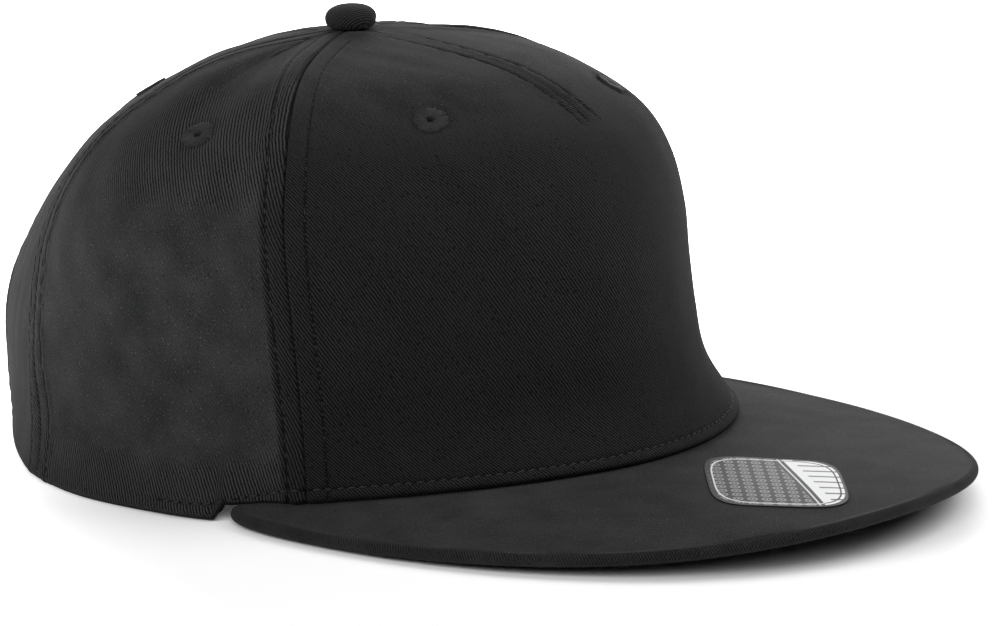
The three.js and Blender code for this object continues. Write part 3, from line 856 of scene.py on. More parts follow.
def numbered_grid(rows: int, columns: int) -> tuple[BMesh, bmesh.types.BMLayerItem]:
    """Make a grid whose vertices are numbered, row by row, in a layer.

    Args:
        rows: The number of rows of points.
        columns: The number of points in a row.

    Returns:
        The grid and the layer.
    """
    bm = bmesh.new()
    bmesh.ops.create_grid(bm, x_segments=columns - 1, y_segments=rows - 1, size=0.5)
    cell = bm.verts.layers.int.new("cell")
    for vert in bm.verts:
        i = round((vert.co.x + 0.5) * (columns - 1))
        j = round((vert.co.y + 0.5) * (rows - 1))
        vert[cell] = j * columns + i
    return bm, cell


def lay_maps(bm: BMesh, cell: bmesh.types.BMLayerItem, charts: dict[str, Array]) -> None:
    """Lay maps on a mesh made from a numbered grid, and turn its faces outwards.

    Args:
        bm: The mesh.
        cell: The layer with its vertices' numbers.
        charts: The maps' coordinates by row and column.
    """
    for name, chart in charts.items():
        layer = bm.loops.layers.uv.new(name)
        flat = chart.reshape(-1, 2)
        for face in bm.faces:
            for loop in face.loops:
                loop[layer].uv = flat[loop.vert[cell]]
    outward_faces(bm)


def layered_sheet(outer: Array, inner: Array, charts: dict[str, Array]) -> BMesh:
    """Make a closed wall from a grid of outer points and a grid of inner points.

    Args:
        outer: Points by row and column.
        inner: The points behind them.
        charts: The maps' coordinates by row and column.

    Returns:
        The wall, with its maps.
    """
    bm, cell = numbered_grid(*outer.shape[:2])
    first = set(bm.verts)
    bmesh.ops.extrude_face_region(bm, geom=bm.faces[:] + bm.edges[:] + bm.verts[:], use_keep_orig=True)
    near, far = outer.reshape(-1, 3), inner.reshape(-1, 3)
    for vert in bm.verts:
        vert.co = near[vert[cell]] if vert in first else far[vert[cell]]
    lay_maps(bm, cell, charts)
    return bm


def wrapped_sheet(points: Array, charts: dict[str, Array]) -> BMesh:
    """Make a closed board from rows of points that run over its top, round its edge and back.

    Args:
        points: Points by row and column.
        charts: The maps' coordinates by row and column.

    Returns:
        The board, with its maps.
    """
    rows, columns = points.shape[:2]
    bm, cell = numbered_grid(rows, columns)
    for vert in bm.verts:
        vert.co = points.reshape(-1, 3)[vert[cell]]
    open_edges = [edge for edge in bm.edges if edge.is_boundary]
    ends = [e for e in open_edges if all(v[cell] // columns in (0, rows - 1) for v in e.verts)]
    bmesh.ops.bridge_loops(bm, edges=ends)
    sides = [edge for edge in bm.edges if edge.is_boundary]
    bmesh.ops.holes_fill(bm, edges=sides, sides=0)
    bmesh.ops.triangulate(bm, faces=[face for face in bm.faces if len(face.verts) > 4])
    lay_maps(bm, cell, charts)
    return bm


def plain_maps(cloth: Array, strength: Array, painted_shade: Array) -> dict[str, Array]:
    """Give the maps of cloth with no stitches in it.

    Args:
        cloth: The cloth map's coordinates.
        strength: How clearly the ribs show, from 0 to 1.
        painted_shade: How much darker the cloth is painted, as shade, from 0 to 1.

    Returns:
        The cloth, sewing and touch maps.
    """
    shape = cloth.shape[:-1]
    sewing = np.full((*shape, 2), FAR)
    touch = np.stack([np.broadcast_to(strength, shape), np.broadcast_to(painted_shade, shape)], axis=-1)
    return {CLOTH_MAP: cloth, SEWING_MAP: sewing, TOUCH_MAP: touch}


def outward_faces(bm: BMesh) -> None:
    """Turn a closed mesh's faces outwards."""
    bmesh.ops.recalc_face_normals(bm, faces=bm.faces[:])
    if bm.calc_volume(signed=True) < 0:
        bmesh.ops.reverse_faces(bm, faces=bm.faces[:])


def as_object(name: str, bm: BMesh, material: Material, sharp: float = 50.0) -> Object:
    """Turn a bmesh into a smooth-shaded object at the origin.

    Args:
        name: The object's name.
        bm: The mesh, which is freed.
        material: Its material.
        sharp: The angle in degrees past which an edge stays sharp.

    Returns:
        The object.
    """
    mesh = bpy.data.meshes.new(name)
    bm.to_mesh(mesh)
    bm.free()
    smooth(mesh, sharp)
    mesh.materials.clear()
    mesh.materials.append(material)
    return linked(name, mesh)


def linked(name: str, data: bpy.types.ID) -> Object:
    """Link data to the scene as an object."""
    made = bpy.data.objects.new(name, data)
    bpy.context.scene.collection.objects.link(made)
    return made


def smooth(mesh: bpy.types.Mesh, sharp: float) -> None:
    """Shade a mesh smooth, with its edges sharp past an angle in degrees."""
    mesh.shade_smooth()
    mesh.set_sharp_from_angle(angle=math.radians(sharp))


def settle(made: Object, sharp: float = 50.0) -> Object:
    """Apply an object's modifiers.

    Args:
        made: The object.
        sharp: The angle in degrees past which an edge stays sharp.

    Returns:
        The same object, with its modifiers' result as its mesh.
    """
    graph = bpy.context.evaluated_depsgraph_get()
    graph.update()
    mesh = bpy.data.meshes.new_from_object(made.evaluated_get(graph), depsgraph=graph)
    made.modifiers.clear()
    old = made.data
    made.data = mesh
    mesh.name = old.name
    bpy.data.meshes.remove(old)
    smooth(mesh, sharp)
    return made


def carve(made: Object, cutter: BMesh) -> Object:
    """Cut a shape out of an object.

    Args:
        made: The object.
        cutter: The closed shape that is taken away, which is freed.

    Returns:
        The same object.
    """
    outward_faces(cutter)
    tool = as_object("cutter", cutter, made.data.materials[0])
    change = made.modifiers.new("cut", "BOOLEAN")
    change.operation = "DIFFERENCE"
    change.solver = "MANIFOLD"
    change.object = tool
    settle(made)
    mesh = tool.data
    bpy.data.objects.remove(tool)
    bpy.data.meshes.remove(mesh)
    return made


def frame_on(point: Array, normal: Array, along: Array) -> Matrix:
    """Give the matrix of a local frame: x along, z outwards.

    Args:
        point: Where the frame stands.
        normal: Its outward direction.
        along: The direction of its x axis, more or less.

    Returns:
        The matrix from local to the frame's coordinates.
    """
    z = Vector(normal).normalized()
    x = Vector(along)
    x = (x - z * x.dot(z)).normalized()
    y = z.cross(x)
    made = Matrix((x, y, z)).transposed().to_4x4()
    made.translation = Vector(point)
    return made


def stamped(template: bpy.types.Mesh, places: Sequence[Matrix]) -> BMesh:
    """Repeat a small mesh at many places.

    Args:
        template: The mesh.
        places: A matrix for each copy.

    Returns:
        One bmesh with all of the copies.
    """
    bm = bmesh.new()
    for place in places:
        copy = template.copy()
        copy.transform(place)
        bm.from_mesh(copy)
        bpy.data.meshes.remove(copy)
    return bm


def absorb(bm: BMesh, part: BMesh) -> None:
    """Add one bmesh to another, and free it."""
    mesh = bpy.data.meshes.new("part")
    part.to_mesh(mesh)
    part.free()
    bm.from_mesh(mesh)
    bpy.data.meshes.remove(mesh)


def turned(profile: Sequence[tuple[float, float]], steps: int) -> BMesh:
    """Spin a profile about the local z axis.

    Args:
        profile: Radius and height of each point, from one end to the other.
        steps: The number of steps in the full turn.

    Returns:
        The closed shape.
    """
    bm = bmesh.new()
    verts = [bm.verts.new((radius, 0.0, height)) for radius, height in profile]
    edges = [bm.edges.new(pair) for pair in zip(verts, verts[1:])]
    bmesh.ops.spin(
        bm, geom=verts + edges, cent=(0, 0, 0), axis=(0, 0, 1), angle=2 * math.pi, steps=steps, use_merge=True
    )
    bmesh.ops.remove_doubles(bm, verts=bm.verts[:], dist=1e-7)
    outward_faces(bm)
    return bm


@dataclass(frozen=True)
class Thickness:
    """Wall thicknesses and clearances that the pieces share."""

    front: float = 2.0 * MM
    cloth: float = 1.4 * MM
    gap: float = 0.3 * MM
    lining_gap: float = 0.5 * MM
    shank: float = 3.8 * MM


@dataclass
class Piece:
    """Something that knows the crown's form, the shared thicknesses and the materials."""

    form: CrownForm
    wardrobe: Wardrobe
    walls: Thickness = field(default_factory=Thickness)

    def dress(self, name: str, bm: BMesh, slot: Slot, sharp: float = 50.0) -> Object:
        """Turn a bmesh into an object with the material of a slot, and free it."""
        return as_object(name, bm, self.wardrobe.materials[slot], sharp)

    def publish(self, made: Object, slot: Slot, *nodes: str) -> Object:
        """Hang a piece on the root body and hide the CAD nodes that it stands for.

        Args:
            made: The finished object.
            slot: Its material slot; not used.
            nodes: The CAD nodes that it replaces.

        Returns:
            The same object.
        """
        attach(made, "root")
        if nodes:
            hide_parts(*nodes)
        LOG.info("%s: %d faces", made.name, len(made.data.polygons))
        return made


# Sewing


@dataclass(frozen=True)
class Path:
    """A line on the cloth: its points, the outward directions and the length along it."""

    points: Array
    normals: Array
    along: Array


@dataclass
class Needle(Piece):
    """Sews rows of stitches as one piece."""

    cover: float = 0.74
    radius: float = 0.21 * MM
    sink: float = 0.13 * MM
    places: list[Matrix] = field(default_factory=list)

    def sew(self, path: Path, seed: int = 0, proud: float = 0.0) -> None:
        """Add a row of stitches along a path, between the needle holes of the sewing map.

        Args:
            path: The row.
            seed: Which small irregularities are drawn.
            proud: How much further out than usual the thread lies.
        """
        draw = np.random.default_rng(100 + seed)
        order = np.argsort(path.along)
        along, points, normals = path.along[order], path.points[order], path.normals[order]

        def read(values: Array, at: float) -> Array:
            return np.array([np.interp(at, along, values[:, axis]) for axis in range(3)])

        for k in range(math.ceil(along[0] / STITCH), math.floor(along[-1] / STITCH)):
            middle = (k + 0.5) * STITCH
            point, normal = read(points, middle), unit(read(normals, middle))
            heading = read(points, middle + 0.4 * STITCH) - read(points, middle - 0.4 * STITCH)
            place = frame_on(point + normal * (proud - self.sink), normal, heading)
            slant = Matrix.Rotation(float(draw.normal(0.06, 0.05)), 4, "Z")
            reach = STITCH * self.cover / 2 * float(draw.uniform(0.92, 1.05))
            width = self.radius + 0.5 * proud
            size = Matrix.Diagonal((reach, width, width * 0.9, 1.0))
            self.places.append(place @ slant @ size)

    def finish(self, name: str) -> Object:
        """Join the stitches into one piece with a name."""
        template = capsule(6, 5)
        made = self.dress(name, stamped(template, self.places), Slot.THREAD, 180.0)
        bpy.data.meshes.remove(template)
        return self.publish(made, Slot.THREAD)


def capsule(around: int, rings: int) -> bpy.types.Mesh:
    """Make a small round bead of radius 1 whose poles lie along x."""
    bm = bmesh.new()
    bmesh.ops.create_uvsphere(bm, u_segments=around, v_segments=rings, radius=1.0)
    bmesh.ops.rotate(bm, verts=bm.verts[:], matrix=Matrix.Rotation(math.pi / 2, 3, "Y"))
    mesh = bpy.data.meshes.new("bead")
    bm.to_mesh(mesh)
    bm.free()
    return mesh


@dataclass(frozen=True)
class SeamSide:
    """How the cloth lies on one side of a seam."""

    groove: float = 0.9 * MM
    groove_width: float = 0.9 * MM
    shelf: float = 0.20 * MM
    top_shelf: float = 0.20 * MM
    ridge: float = 0.15 * MM
    ridge_at: float = 2.6 * MM
    ridge_spread: float = 1.8 * MM
    row_at: float = 5.1 * MM
    row_dip: float = 0.20 * MM
    pucker: float = 0.10 * MM
    pucker_length: float = 5.4 * MM
    seed: float = 0.0

    def relief(self, distance: Array, along: Array, width: Array, up: Array) -> Array:
        """Give how far the cloth stands out near the seam.

        Args:
            distance: The distance from the seam.
            along: The distance along it.
            width: The panel's width there.
            up: The share of the way up.

        Returns:
            Distances outwards.
        """
        room = smoothstep(width, 9 * MM, 22 * MM)
        groove = -self.groove * tuck(distance, self.groove_width) * (0.6 + 0.4 * smoothstep(up, 0.35, 0.6))
        high = self.shelf + (self.top_shelf - self.shelf) * smoothstep(up, 0.66, 0.82)
        shelf = high * (1 - smoothstep(distance, self.row_at + 0.9 * MM, self.row_at + 2.4 * MM))
        ridge = self.ridge * bell(distance, self.ridge_at, self.ridge_spread)
        row = -self.row_dip * bell(distance, self.row_at, 0.60 * MM)
        wave = wander(along + 0.5 * distance, self.pucker_length, self.seed)
        calm = 1 - 0.85 * smoothstep(up, 0.66, 0.82)
        pucker = self.pucker * calm * wave * bell(distance, self.row_at - 0.6 * MM, 2.4 * MM)
        return groove + (shelf + ridge + pucker) * room + row * smoothstep(width, 5 * MM, 10 * MM)


class Seam(Enum):
    """The kinds of seam side on the crown."""

    FRONT = SeamSide(groove=1.3 * MM, groove_width=0.8 * MM, shelf=0.25 * MM, ridge=0.10 * MM, seed=0.4)
    SIDE_AHEAD = SeamSide(
        groove=1.0 * MM, groove_width=0.9 * MM, shelf=0.32 * MM, top_shelf=0.65 * MM, ridge=0.22 * MM,
        row_at=4.4 * MM, row_dip=0.26 * MM, pucker=0.24 * MM, pucker_length=4.2 * MM, seed=1.9,
    )
    SIDE_BEHIND = SeamSide(
        groove=0.7 * MM, ridge=0.12 * MM, row_at=4.4 * MM, row_dip=0.26 * MM, pucker=0.28 * MM, seed=3.1
    )
    BACK_AHEAD = SeamSide(
        groove=0.7 * MM, ridge=0.15 * MM, row_at=4.4 * MM, row_dip=0.26 * MM, pucker=0.24 * MM, seed=4.6
    )
    BACK_MIDDLE = SeamSide(
        groove=0.6 * MM, ridge=0.12 * MM, row_at=4.2 * MM, row_dip=0.22 * MM, pucker=0.14 * MM, seed=5.2
    )


@dataclass(frozen=True)
class Arch:
    """The opening over the snap strap, as seen from behind."""

    half_width: float = 46.0 * MM
    height: float = 60.0 * MM
    fold: float = 1.3 * MM
    row_at: float = 2.6 * MM
    second_row_at: float = 7.0 * MM

    def away(self, point: Array, normal: Array) -> Array:
        """Give the distance from the arch's edge along the cloth.

        Args:
            point: Points on the crown.
            normal: The outward directions there.

        Returns:
            Distances, negative inside the opening.
        """
        x, z = point[..., 0], point[..., 2] - (self.height - self.half_width)
        above = np.maximum(z, 0.0)
        radius = np.hypot(x, above)
        slope_x, slope_z = x / radius, above / radius
        facing = normal[..., 0] * slope_x + normal[..., 2] * slope_z
        return (radius - self.half_width) / np.sqrt(np.maximum(1 - facing**2, 0.2))

    def relief(self, away: Array, along: Array) -> Array:
        """Give how far the hem stands out at a distance from the arch's edge."""
        fold = -0.8 * MM * tuck(np.maximum(away, 0.0), self.fold)
        hem = 0.30 * MM * (1 - smoothstep(away, self.second_row_at, self.second_row_at + 2 * MM))
        rows = bell(away, self.row_at, 0.55 * MM) + bell(away, self.second_row_at, 0.55 * MM)
        pucker = 0.14 * MM * wander(along, 5.0 * MM, 2.2) * bell(away, self.second_row_at, 3.0 * MM)
        return fold + hem - 0.22 * MM * rows + pucker

    def along(self, point: Array) -> Array:
        """Give the length along the arch's edge, from the rim to the point's foot on it."""
        above = point[..., 2] - (self.height - self.half_width)
        turn = np.arctan2(np.maximum(above, 0.0), np.abs(point[..., 0]))
        return np.minimum(point[..., 2], self.height - self.half_width) + self.half_width * 1.12 * turn

    def line(self, out: float, sign: float) -> tuple[Array, Array]:
        """Give one half of the line at a distance outside the arch's edge.

        Args:
            out: The distance.
            sign: -1 on the wearer's right, 1 on the left.

        Returns:
            The line's distances to the side and heights.
        """
        middle = self.height - self.half_width
        radius = self.half_width + out
        turn = np.linspace(0.0, math.pi / 2 - 0.01, 120)
        low = np.linspace(2.0 * MM, middle, 20)[:-1]
        x = np.concatenate([np.full(low.shape, radius), radius * np.cos(turn)])
        return sign * x, np.concatenate([low, middle + radius * np.sin(turn)])

    def cutter(self) -> BMesh:
        """Make the prism that is cut out of the back panels."""
        middle = self.height - self.half_width
        bm = bmesh.new()
        bmesh.ops.create_circle(bm, cap_ends=True, segments=128, radius=self.half_width)
        bmesh.ops.rotate(bm, verts=bm.verts[:], matrix=Matrix.Rotation(math.pi / 2, 3, "X"))
        for vert in bm.verts:
            vert.co.z = vert.co.z + middle if vert.co.z > 0 else -0.02
            vert.co.y = 0.03
        below = [v for v in bm.verts if v.co.z < 0]
        for vert in below:
            if abs(vert.co.x) > self.half_width * 0.9:
                vert.co.x = math.copysign(self.half_width, vert.co.x)
        swept = bmesh.ops.extrude_face_region(bm, geom=bm.faces[:])
        moved = [g for g in swept["geom"] if isinstance(g, bmesh.types.BMVert)]
        bmesh.ops.translate(bm, verts=moved, vec=(0, 0.12, 0))
        return bm


@dataclass(frozen=True)
class EyeletPlace:
    """Where an eyelet sits on either side, and the wall that it goes through."""

    name: str
    right: float
    left: float
    up: float
    wall: float

    def angle(self, sign: float) -> float:
        """Give its angle on one side, -1 being the wearer's right."""
        return self.left if sign > 0 else -self.right


EYELET_PLACES = (
    EyeletPlace("front", 36.8, 31.5, 0.686, 2.0 * MM),
    EyeletPlace("side", 85.0, 85.0, 0.647, 1.4 * MM),
    EyeletPlace("back", 148.0, 148.0, 0.660, 1.4 * MM),
)


@dataclass(frozen=True)
class Spot:
    """Places on a panel, with the distances that its relief and maps are made from."""

    angle: Array
    up: Array
    base: Array
    rise: Array
    hem: Array
    left: Array
    right: Array
    width: Array


@dataclass
class Panel(Piece):
    """One cloth panel of the crown."""

    name: str = "crown_panel"
    start: Callable[[Array], Array] = field(default=lambda up: up)
    stop: Callable[[Array], Array] = field(default=lambda up: up)
    start_seam: Seam = Seam.FRONT
    stop_seam: Seam = Seam.FRONT
    wall: float = 1.4 * MM
    grain: float = 48.0
    softness: float = 0.16 * MM
    seed: int = 1
    dart: bool = False
    arch: Arch | None = None
    eyelets: tuple[tuple[float, EyeletPlace], ...] = ()
    dart_rows: tuple[float, float] = (-2.7 * MM, 4.4 * MM)
    dart_end: float = 0.635
    eyelet_hole: float = 2.2 * MM
    rim_row: float = 3.5 * MM
    rim_row_end: float = 80.0
    climb: float = 150 * MM

    def __post_init__(self) -> None:
        """Measure the seams, the middle and the rim, so that stitches can be counted along them."""
        self.ups = np.linspace(-0.03, 1.0, 500)
        self.lengths = {
            key: self.measure(line(self.ups))
            for key, line in {"start": self.start, "stop": self.stop, "middle": self.middle}.items()
        }
        self.turns = np.linspace(-185.0, 185.0, 1500)
        rim = self.form.plain(self.turns, np.full(self.turns.shape, 0.02))
        self.rim_lengths = running(np.linalg.norm(np.diff(rim, axis=0), axis=1))

    def middle(self, up: Array) -> Array:
        """Give the angle of the panel's middle line."""
        return (self.start(up) + self.stop(up)) / 2

    def measure(self, angle: Array) -> Array:
        """Give the length up a line of the panel, at each of the measured shares."""
        return running(np.linalg.norm(np.diff(self.form.plain(angle, self.ups), axis=0), axis=1))

    def spot(self, angle: Array, up: Array) -> Spot:
        """Measure places on the panel.

        Args:
            angle: Degrees from the middle of the front.
            up: Shares of the way up.

        Returns:
            The places and their distances from the edges.
        """
        angle, up = np.broadcast_arrays(np.asarray(angle, float), np.asarray(up, float))
        form = self.form
        base = form.plain(angle, up)
        rise = np.linalg.norm(base - form.plain(angle, form.foot(angle)), axis=-1)
        pace = form.per_degree(angle, up)
        left = np.maximum((angle - self.start(up)) * pace, 0.0)
        right = np.maximum((self.stop(up) - angle) * pace, 0.0)
        return Spot(angle, up, base, rise, rise + form.hem_gap(angle), left, right, self.width_at(up))

    def width_at(self, up: Array) -> Array:
        """Give the panel's width at a share of the way up."""
        return (self.stop(up) - self.start(up)) * self.form.per_degree(self.middle(up), up)

    def relief(self, spot: Spot) -> Array:
        """Give how far the cloth stands out from the plain crown, its dents among it."""
        left, right, rise, up = spot.left, spot.right, spot.rise, spot.up
        inner = smoothstep(np.minimum(left, right), 3 * MM, 16 * MM) * smoothstep(rise, 4 * MM, 20 * MM)
        total = self.form.push(spot.angle, up)
        total = total + self.start_seam.value.relief(left, rise, spot.width, up)
        total = total + self.stop_seam.value.relief(right, rise, spot.width, up)
        total = total + self.softness * ripple(left - right, rise, 26 * MM, self.seed) * inner
        total = total + self.rim_relief(spot)
        for sign, eyelet in self.eyelets:
            away = self.from_eyelet(spot, sign, eyelet)
            total = total - 0.30 * MM * bell(away, 4.9 * MM, 0.9 * MM) - 0.15 * MM * (away < 4.6 * MM)
        if self.dart:
            total = total + self.dart_relief(spot)
        if self.arch is not None:
            away = self.arch.away(spot.base, self.form.outward(spot.angle, up))
            total = total + self.arch.relief(away, self.arch.along(spot.base))
        return total

    def from_eyelet(self, spot: Spot, sign: float, eyelet: EyeletPlace) -> Array:
        """Give the distance from an eyelet's middle."""
        middle = self.form.plain(np.array(eyelet.angle(sign)), np.array(eyelet.up))
        return np.linalg.norm(spot.base - middle, axis=-1)

    def rim_relief(self, spot: Spot) -> Array:
        """Give the relief of the folded lower edge and of the stitch row over the peak."""
        along = np.interp(spot.angle, self.turns, self.rim_lengths)
        sewn = 1 - smoothstep(np.abs(spot.angle), self.rim_row_end, self.rim_row_end + 6.0)
        fold = -1.3 * MM * tuck(spot.rise, 1.7 * MM)
        hem = 0.34 * MM * bell(spot.hem, 1.9 * MM, 1.1 * MM)
        dip = -0.34 * MM * bell(spot.hem, self.rim_row, 0.6 * MM)
        slack = 0.5 + 1.1 * smoothstep(np.abs(spot.angle), 56.0, 62.0)
        pucker = 0.20 * MM * slack * wander(along, 6.0 * MM, 0.7) * bell(spot.hem, self.rim_row, 1.9 * MM)
        return fold + (hem + dip + pucker) * sewn + 0.4 * hem * (1 - sewn)

    def dart_relief(self, spot: Spot) -> Array:
        """Give the relief of the dart down the middle of the front, whose right lip lies on top."""
        x, up = spot.base[..., 0], spot.up
        fade = smoothstep(up, self.dart_end - 0.01, self.dart_end + 0.05) * (1 - 0.6 * smoothstep(up, 0.86, 0.95))
        groove = -0.9 * MM * tuck(x, 0.8 * MM)
        lip = 0.34 * MM * np.exp(-((x / (2.4 * MM)) ** 2)) * (x < 0)
        hollow = -0.45 * MM * np.exp(-((x / (3.0 * MM)) ** 2)) * (x >= 0)
        off = self.from_dart_row(x)
        rows = -0.24 * MM * bell(off, 0.0, 0.6 * MM)
        pucker = 0.20 * MM * wander(spot.rise + x, 4.6 * MM, 1.1) * bell(off, 0.0, 1.6 * MM)
        near_top = 1 - smoothstep(up, 0.955, 0.985)
        return fade * (groove + (lip + hollow + rows + pucker) * near_top)

    def from_dart_row(self, x: Array) -> Array:
        """Give the distance from the nearer of the dart's two stitch rows."""
        near, far = self.dart_rows
        return np.minimum(np.abs(x - near), np.abs(x - far))

    def rows(self, spot: Spot) -> list[tuple[Array, Array]]:
        """Give each stitch row's distance and the length along it, far away where it doesn't run."""
        up = spot.up

        def where(runs: Array, distance: Array) -> Array:
            return np.where(runs, distance, FAR)

        found = []
        for seam, key, away in ((self.start_seam, "start", spot.left), (self.stop_seam, "stop", spot.right)):
            along = np.interp(up, self.ups, self.lengths[key])
            top = 0.60 if seam is Seam.BACK_MIDDLE else -1.0
            found.append((where((up < 0.95) & (up > top), away - seam.value.row_at), along))
        rim = np.interp(spot.angle, self.turns, self.rim_lengths)
        found.append((where(np.abs(spot.angle) < self.rim_row_end, spot.hem - self.rim_row), rim))
        if self.dart:
            along = np.interp(up, self.ups, self.lengths["middle"])
            runs = (up > self.dart_end) & (up < 0.95)
            found.append((where(runs, self.from_dart_row(spot.base[..., 0])), along))
        if self.arch is not None:
            away = self.arch.away(spot.base, self.form.outward(spot.angle, up))
            for out in (self.arch.row_at, self.arch.second_row_at):
                found.append((away - out, self.arch.along(spot.base)))
        return found

    def sewing(self, spot: Spot) -> Array:
        """Give the sewing map: the distance from the nearest stitch row and the length along it."""
        found = self.rows(spot)
        distance, along = found[0]
        for other, length in found[1:]:
            nearer = np.abs(other) < np.abs(distance)
            distance, along = np.where(nearer, other, distance), np.where(nearer, length, along)
        return np.stack([distance, along], axis=-1)

    def touch(self, spot: Spot) -> Array:
        """Give the touch map: how clearly the ribs show, and how much darker the cloth is painted as shade."""
        up = spot.up
        if self.start_seam is Seam.FRONT:
            strength = 1.0 - 0.93 * smoothstep(up, 0.64, 0.76)
            # painted shade: the front panel's lower part is darker, as it faces away from the lamps
            painted_shade = 0.58 * (1 - smoothstep(up, 0.55, 0.80)) + self.dart_shade(spot)
        elif self.arch is None:
            ahead = spot.left if self.start_seam is Seam.SIDE_AHEAD else spot.right
            strip = 1 - smoothstep(ahead, 5.4 * MM, 6.6 * MM)
            hem = 0.85 * (1 - smoothstep(spot.hem, 9 * MM, 16 * MM))
            high = 0.75 * smoothstep(up, 0.46, 0.56) * (1 - smoothstep(up, 0.70, 0.80))
            strength = np.maximum(np.maximum(strip * (1 - smoothstep(up, 0.72, 0.85)), hem), high)
            strength = np.maximum(strength, 0.12)
            # painted shade: the side panel's strip beside the front seam is darker low down
            painted_shade = 0.5 * strip * (1 - smoothstep(up, 0.45, 0.70))
        else:
            strength = 0.45 - 0.35 * smoothstep(up, 0.55, 0.75)
            painted_shade = np.zeros_like(up)
        # painted shade in the seam grooves at the panel's edges
        edge = tuck(np.minimum(spot.left, spot.right), 0.55 * MM) * (0.5 + 0.5 * smoothstep(up, 0.35, 0.6))
        # painted shade under the folded lower edge
        under = 1 - smoothstep(spot.rise, 0.5 * MM, 1.2 * MM)
        return np.stack(np.broadcast_arrays(strength, painted_shade + edge + 0.95 * under), axis=-1)

    def dart_shade(self, spot: Spot) -> Array:
        """Give the painted shade in the dart's crease and in the hollow behind it."""
        x = spot.base[..., 0]
        runs = smoothstep(spot.up, self.dart_end, self.dart_end + 0.03) * (1 - smoothstep(spot.up, 0.84, 0.93))
        crease = tuck(x, 1.0 * MM)
        return runs * (crease + 0.75 * np.exp(-((x / (2.2 * MM)) ** 2)) * (x >= 0))

    def on_cloth(self, angle: Array, up: Array) -> tuple[Array, Array]:
        """Give points on the finished cloth and the outward directions there."""
        point = self.form.surface(angle, up, self.relief(self.spot(angle, up)))
        return point, self.form.outward(angle, up)

    def seam_path(self, from_start: bool, low: float, high: float) -> Path:
        """Give the stitch row beside one of the panel's seams.

        Args:
            from_start: Whether it runs beside the first seam.
            low: The share of the way up where it starts.
            high: The share of the way up where it ends.

        Returns:
            The row.
        """
        up = np.linspace(low, high, 260)
        seam = self.start_seam if from_start else self.stop_seam
        edge = self.start(up) if from_start else self.stop(up)
        turn = seam.value.row_at / self.form.per_degree(edge, up)
        along = np.interp(up, self.ups, self.lengths["start" if from_start else "stop"])
        return Path(*self.on_cloth(edge + turn if from_start else edge - turn, up), along)

    def rim_path(self, low: float, high: float) -> Path:
        """Give the stitch row above the peak, between two angles."""
        angle = np.linspace(low, high, 300)
        foot = self.form.foot(angle)
        wanted = self.rim_row - self.form.hem_gap(angle)
        up = foot + 0.03
        for _ in range(8):
            rise = np.linalg.norm(self.form.plain(angle, up) - self.form.plain(angle, foot), axis=-1)
            up = foot + (up - foot) * wanted / rise
        return Path(*self.on_cloth(angle, up), np.interp(angle, self.turns, self.rim_lengths))

    def dart_path(self, side: int) -> Path:
        """Give one of the two stitch rows beside the dart."""
        up = np.linspace(self.dart_end + 0.025, 0.945, 160)
        angle = self.dart_rows[side] / self.form.per_degree(np.zeros_like(up), up)
        return Path(*self.on_cloth(angle, up), np.interp(up, self.ups, self.lengths["middle"]))

    def arch_path(self, out: float, sign: float) -> Path:
        """Give the half of a stitch row around the arch that lies on this panel."""
        angle, up = self.form.back_place(*self.arch.line(out * 0.96, sign))
        return Path(*self.on_cloth(angle, up), self.arch.along(self.form.plain(angle, up)))

    def lay(self) -> tuple[Array, Array, dict[str, Array]]:
        """Lay the cloth on the crown.

        Returns:
            The outer points, the inner points and the maps.
        """
        form, gap = self.form, self.walls.gap
        arc = float(self.width_at(np.zeros(1))[0])
        marks = [(place, *near) for place in (0.0, arc) for near in ((1.0 * MM, 0.18 * MM), (6.5 * MM, 0.42 * MM))]
        if self.dart:
            marks += [(arc / 2, 1.0 * MM, 0.22 * MM), (arc / 2, 6 * MM, 0.45 * MM)]
        first, last = float(self.start(np.zeros(1))[0]), float(self.stop(np.zeros(1))[0])
        for step in (-form.step_start - 0.8, form.step_start + 0.8):
            marks += [(arc * (step - first) / (last - first), 2.2 * MM, 0.4 * MM)] * (first < step < last)
        coarse = 0.85 * MM if self.arch is not None else 1.15 * MM
        u = spaced(arc, coarse, marks)
        v = spaced(self.climb, coarse, [(0.0, 1.6 * MM, 0.28 * MM), (0.0, 5 * MM, 0.42 * MM)])
        share, rough = np.meshgrid(u, v)
        guess = self.start(rough * 0.98) * (1 - share) + self.stop(rough * 0.98) * share
        foot = form.foot(guess)
        up = foot + (form.up_at_radius(guess, self.walls.shank + gap) - foot) * rough
        half = gap / 4 / form.per_degree(guess, up)
        first, last = self.start(up) + half, self.stop(up) - half
        spot = self.spot(first * (1 - share) + last * share, up)
        outer = form.surface(spot.angle, up, self.relief(spot))
        inner = form.surface(spot.angle, up, form.push(spot.angle, up) - self.wall)
        across = running(np.linalg.norm(np.diff(spot.base, axis=1), axis=-1), 1)
        middle = len(u) // 2
        across = across - across[:, middle : middle + 1]
        along = running(np.linalg.norm(np.diff(spot.base, axis=0), axis=-1)) + spot.base[:1, :, 2]
        cloth = grained(across, along, self.grain)
        return outer, inner, {CLOTH_MAP: cloth, SEWING_MAP: self.sewing(spot), TOUCH_MAP: self.touch(spot)}

    def build(self) -> Object:
        """Make the panel, with its openings."""
        made = self.dress(self.name + "_cloth", layered_sheet(*self.lay()), Slot.TWILL)
        for sign, eyelet in self.eyelets:
            point, normal = self.on_cloth(np.array(eyelet.angle(sign)), np.array(eyelet.up))
            hole = bmesh.new()
            wide = self.eyelet_hole
            bmesh.ops.create_cone(hole, cap_ends=True, segments=32, radius1=wide, radius2=wide, depth=14 * MM)
            bmesh.ops.transform(hole, verts=hole.verts[:], matrix=frame_on(point, normal, np.array([0, 0, 1.0])))
            carve(made, hole)
        if self.arch is not None:
            carve(made, self.arch.cutter())
        return self.publish(made, Slot.TWILL, self.name)


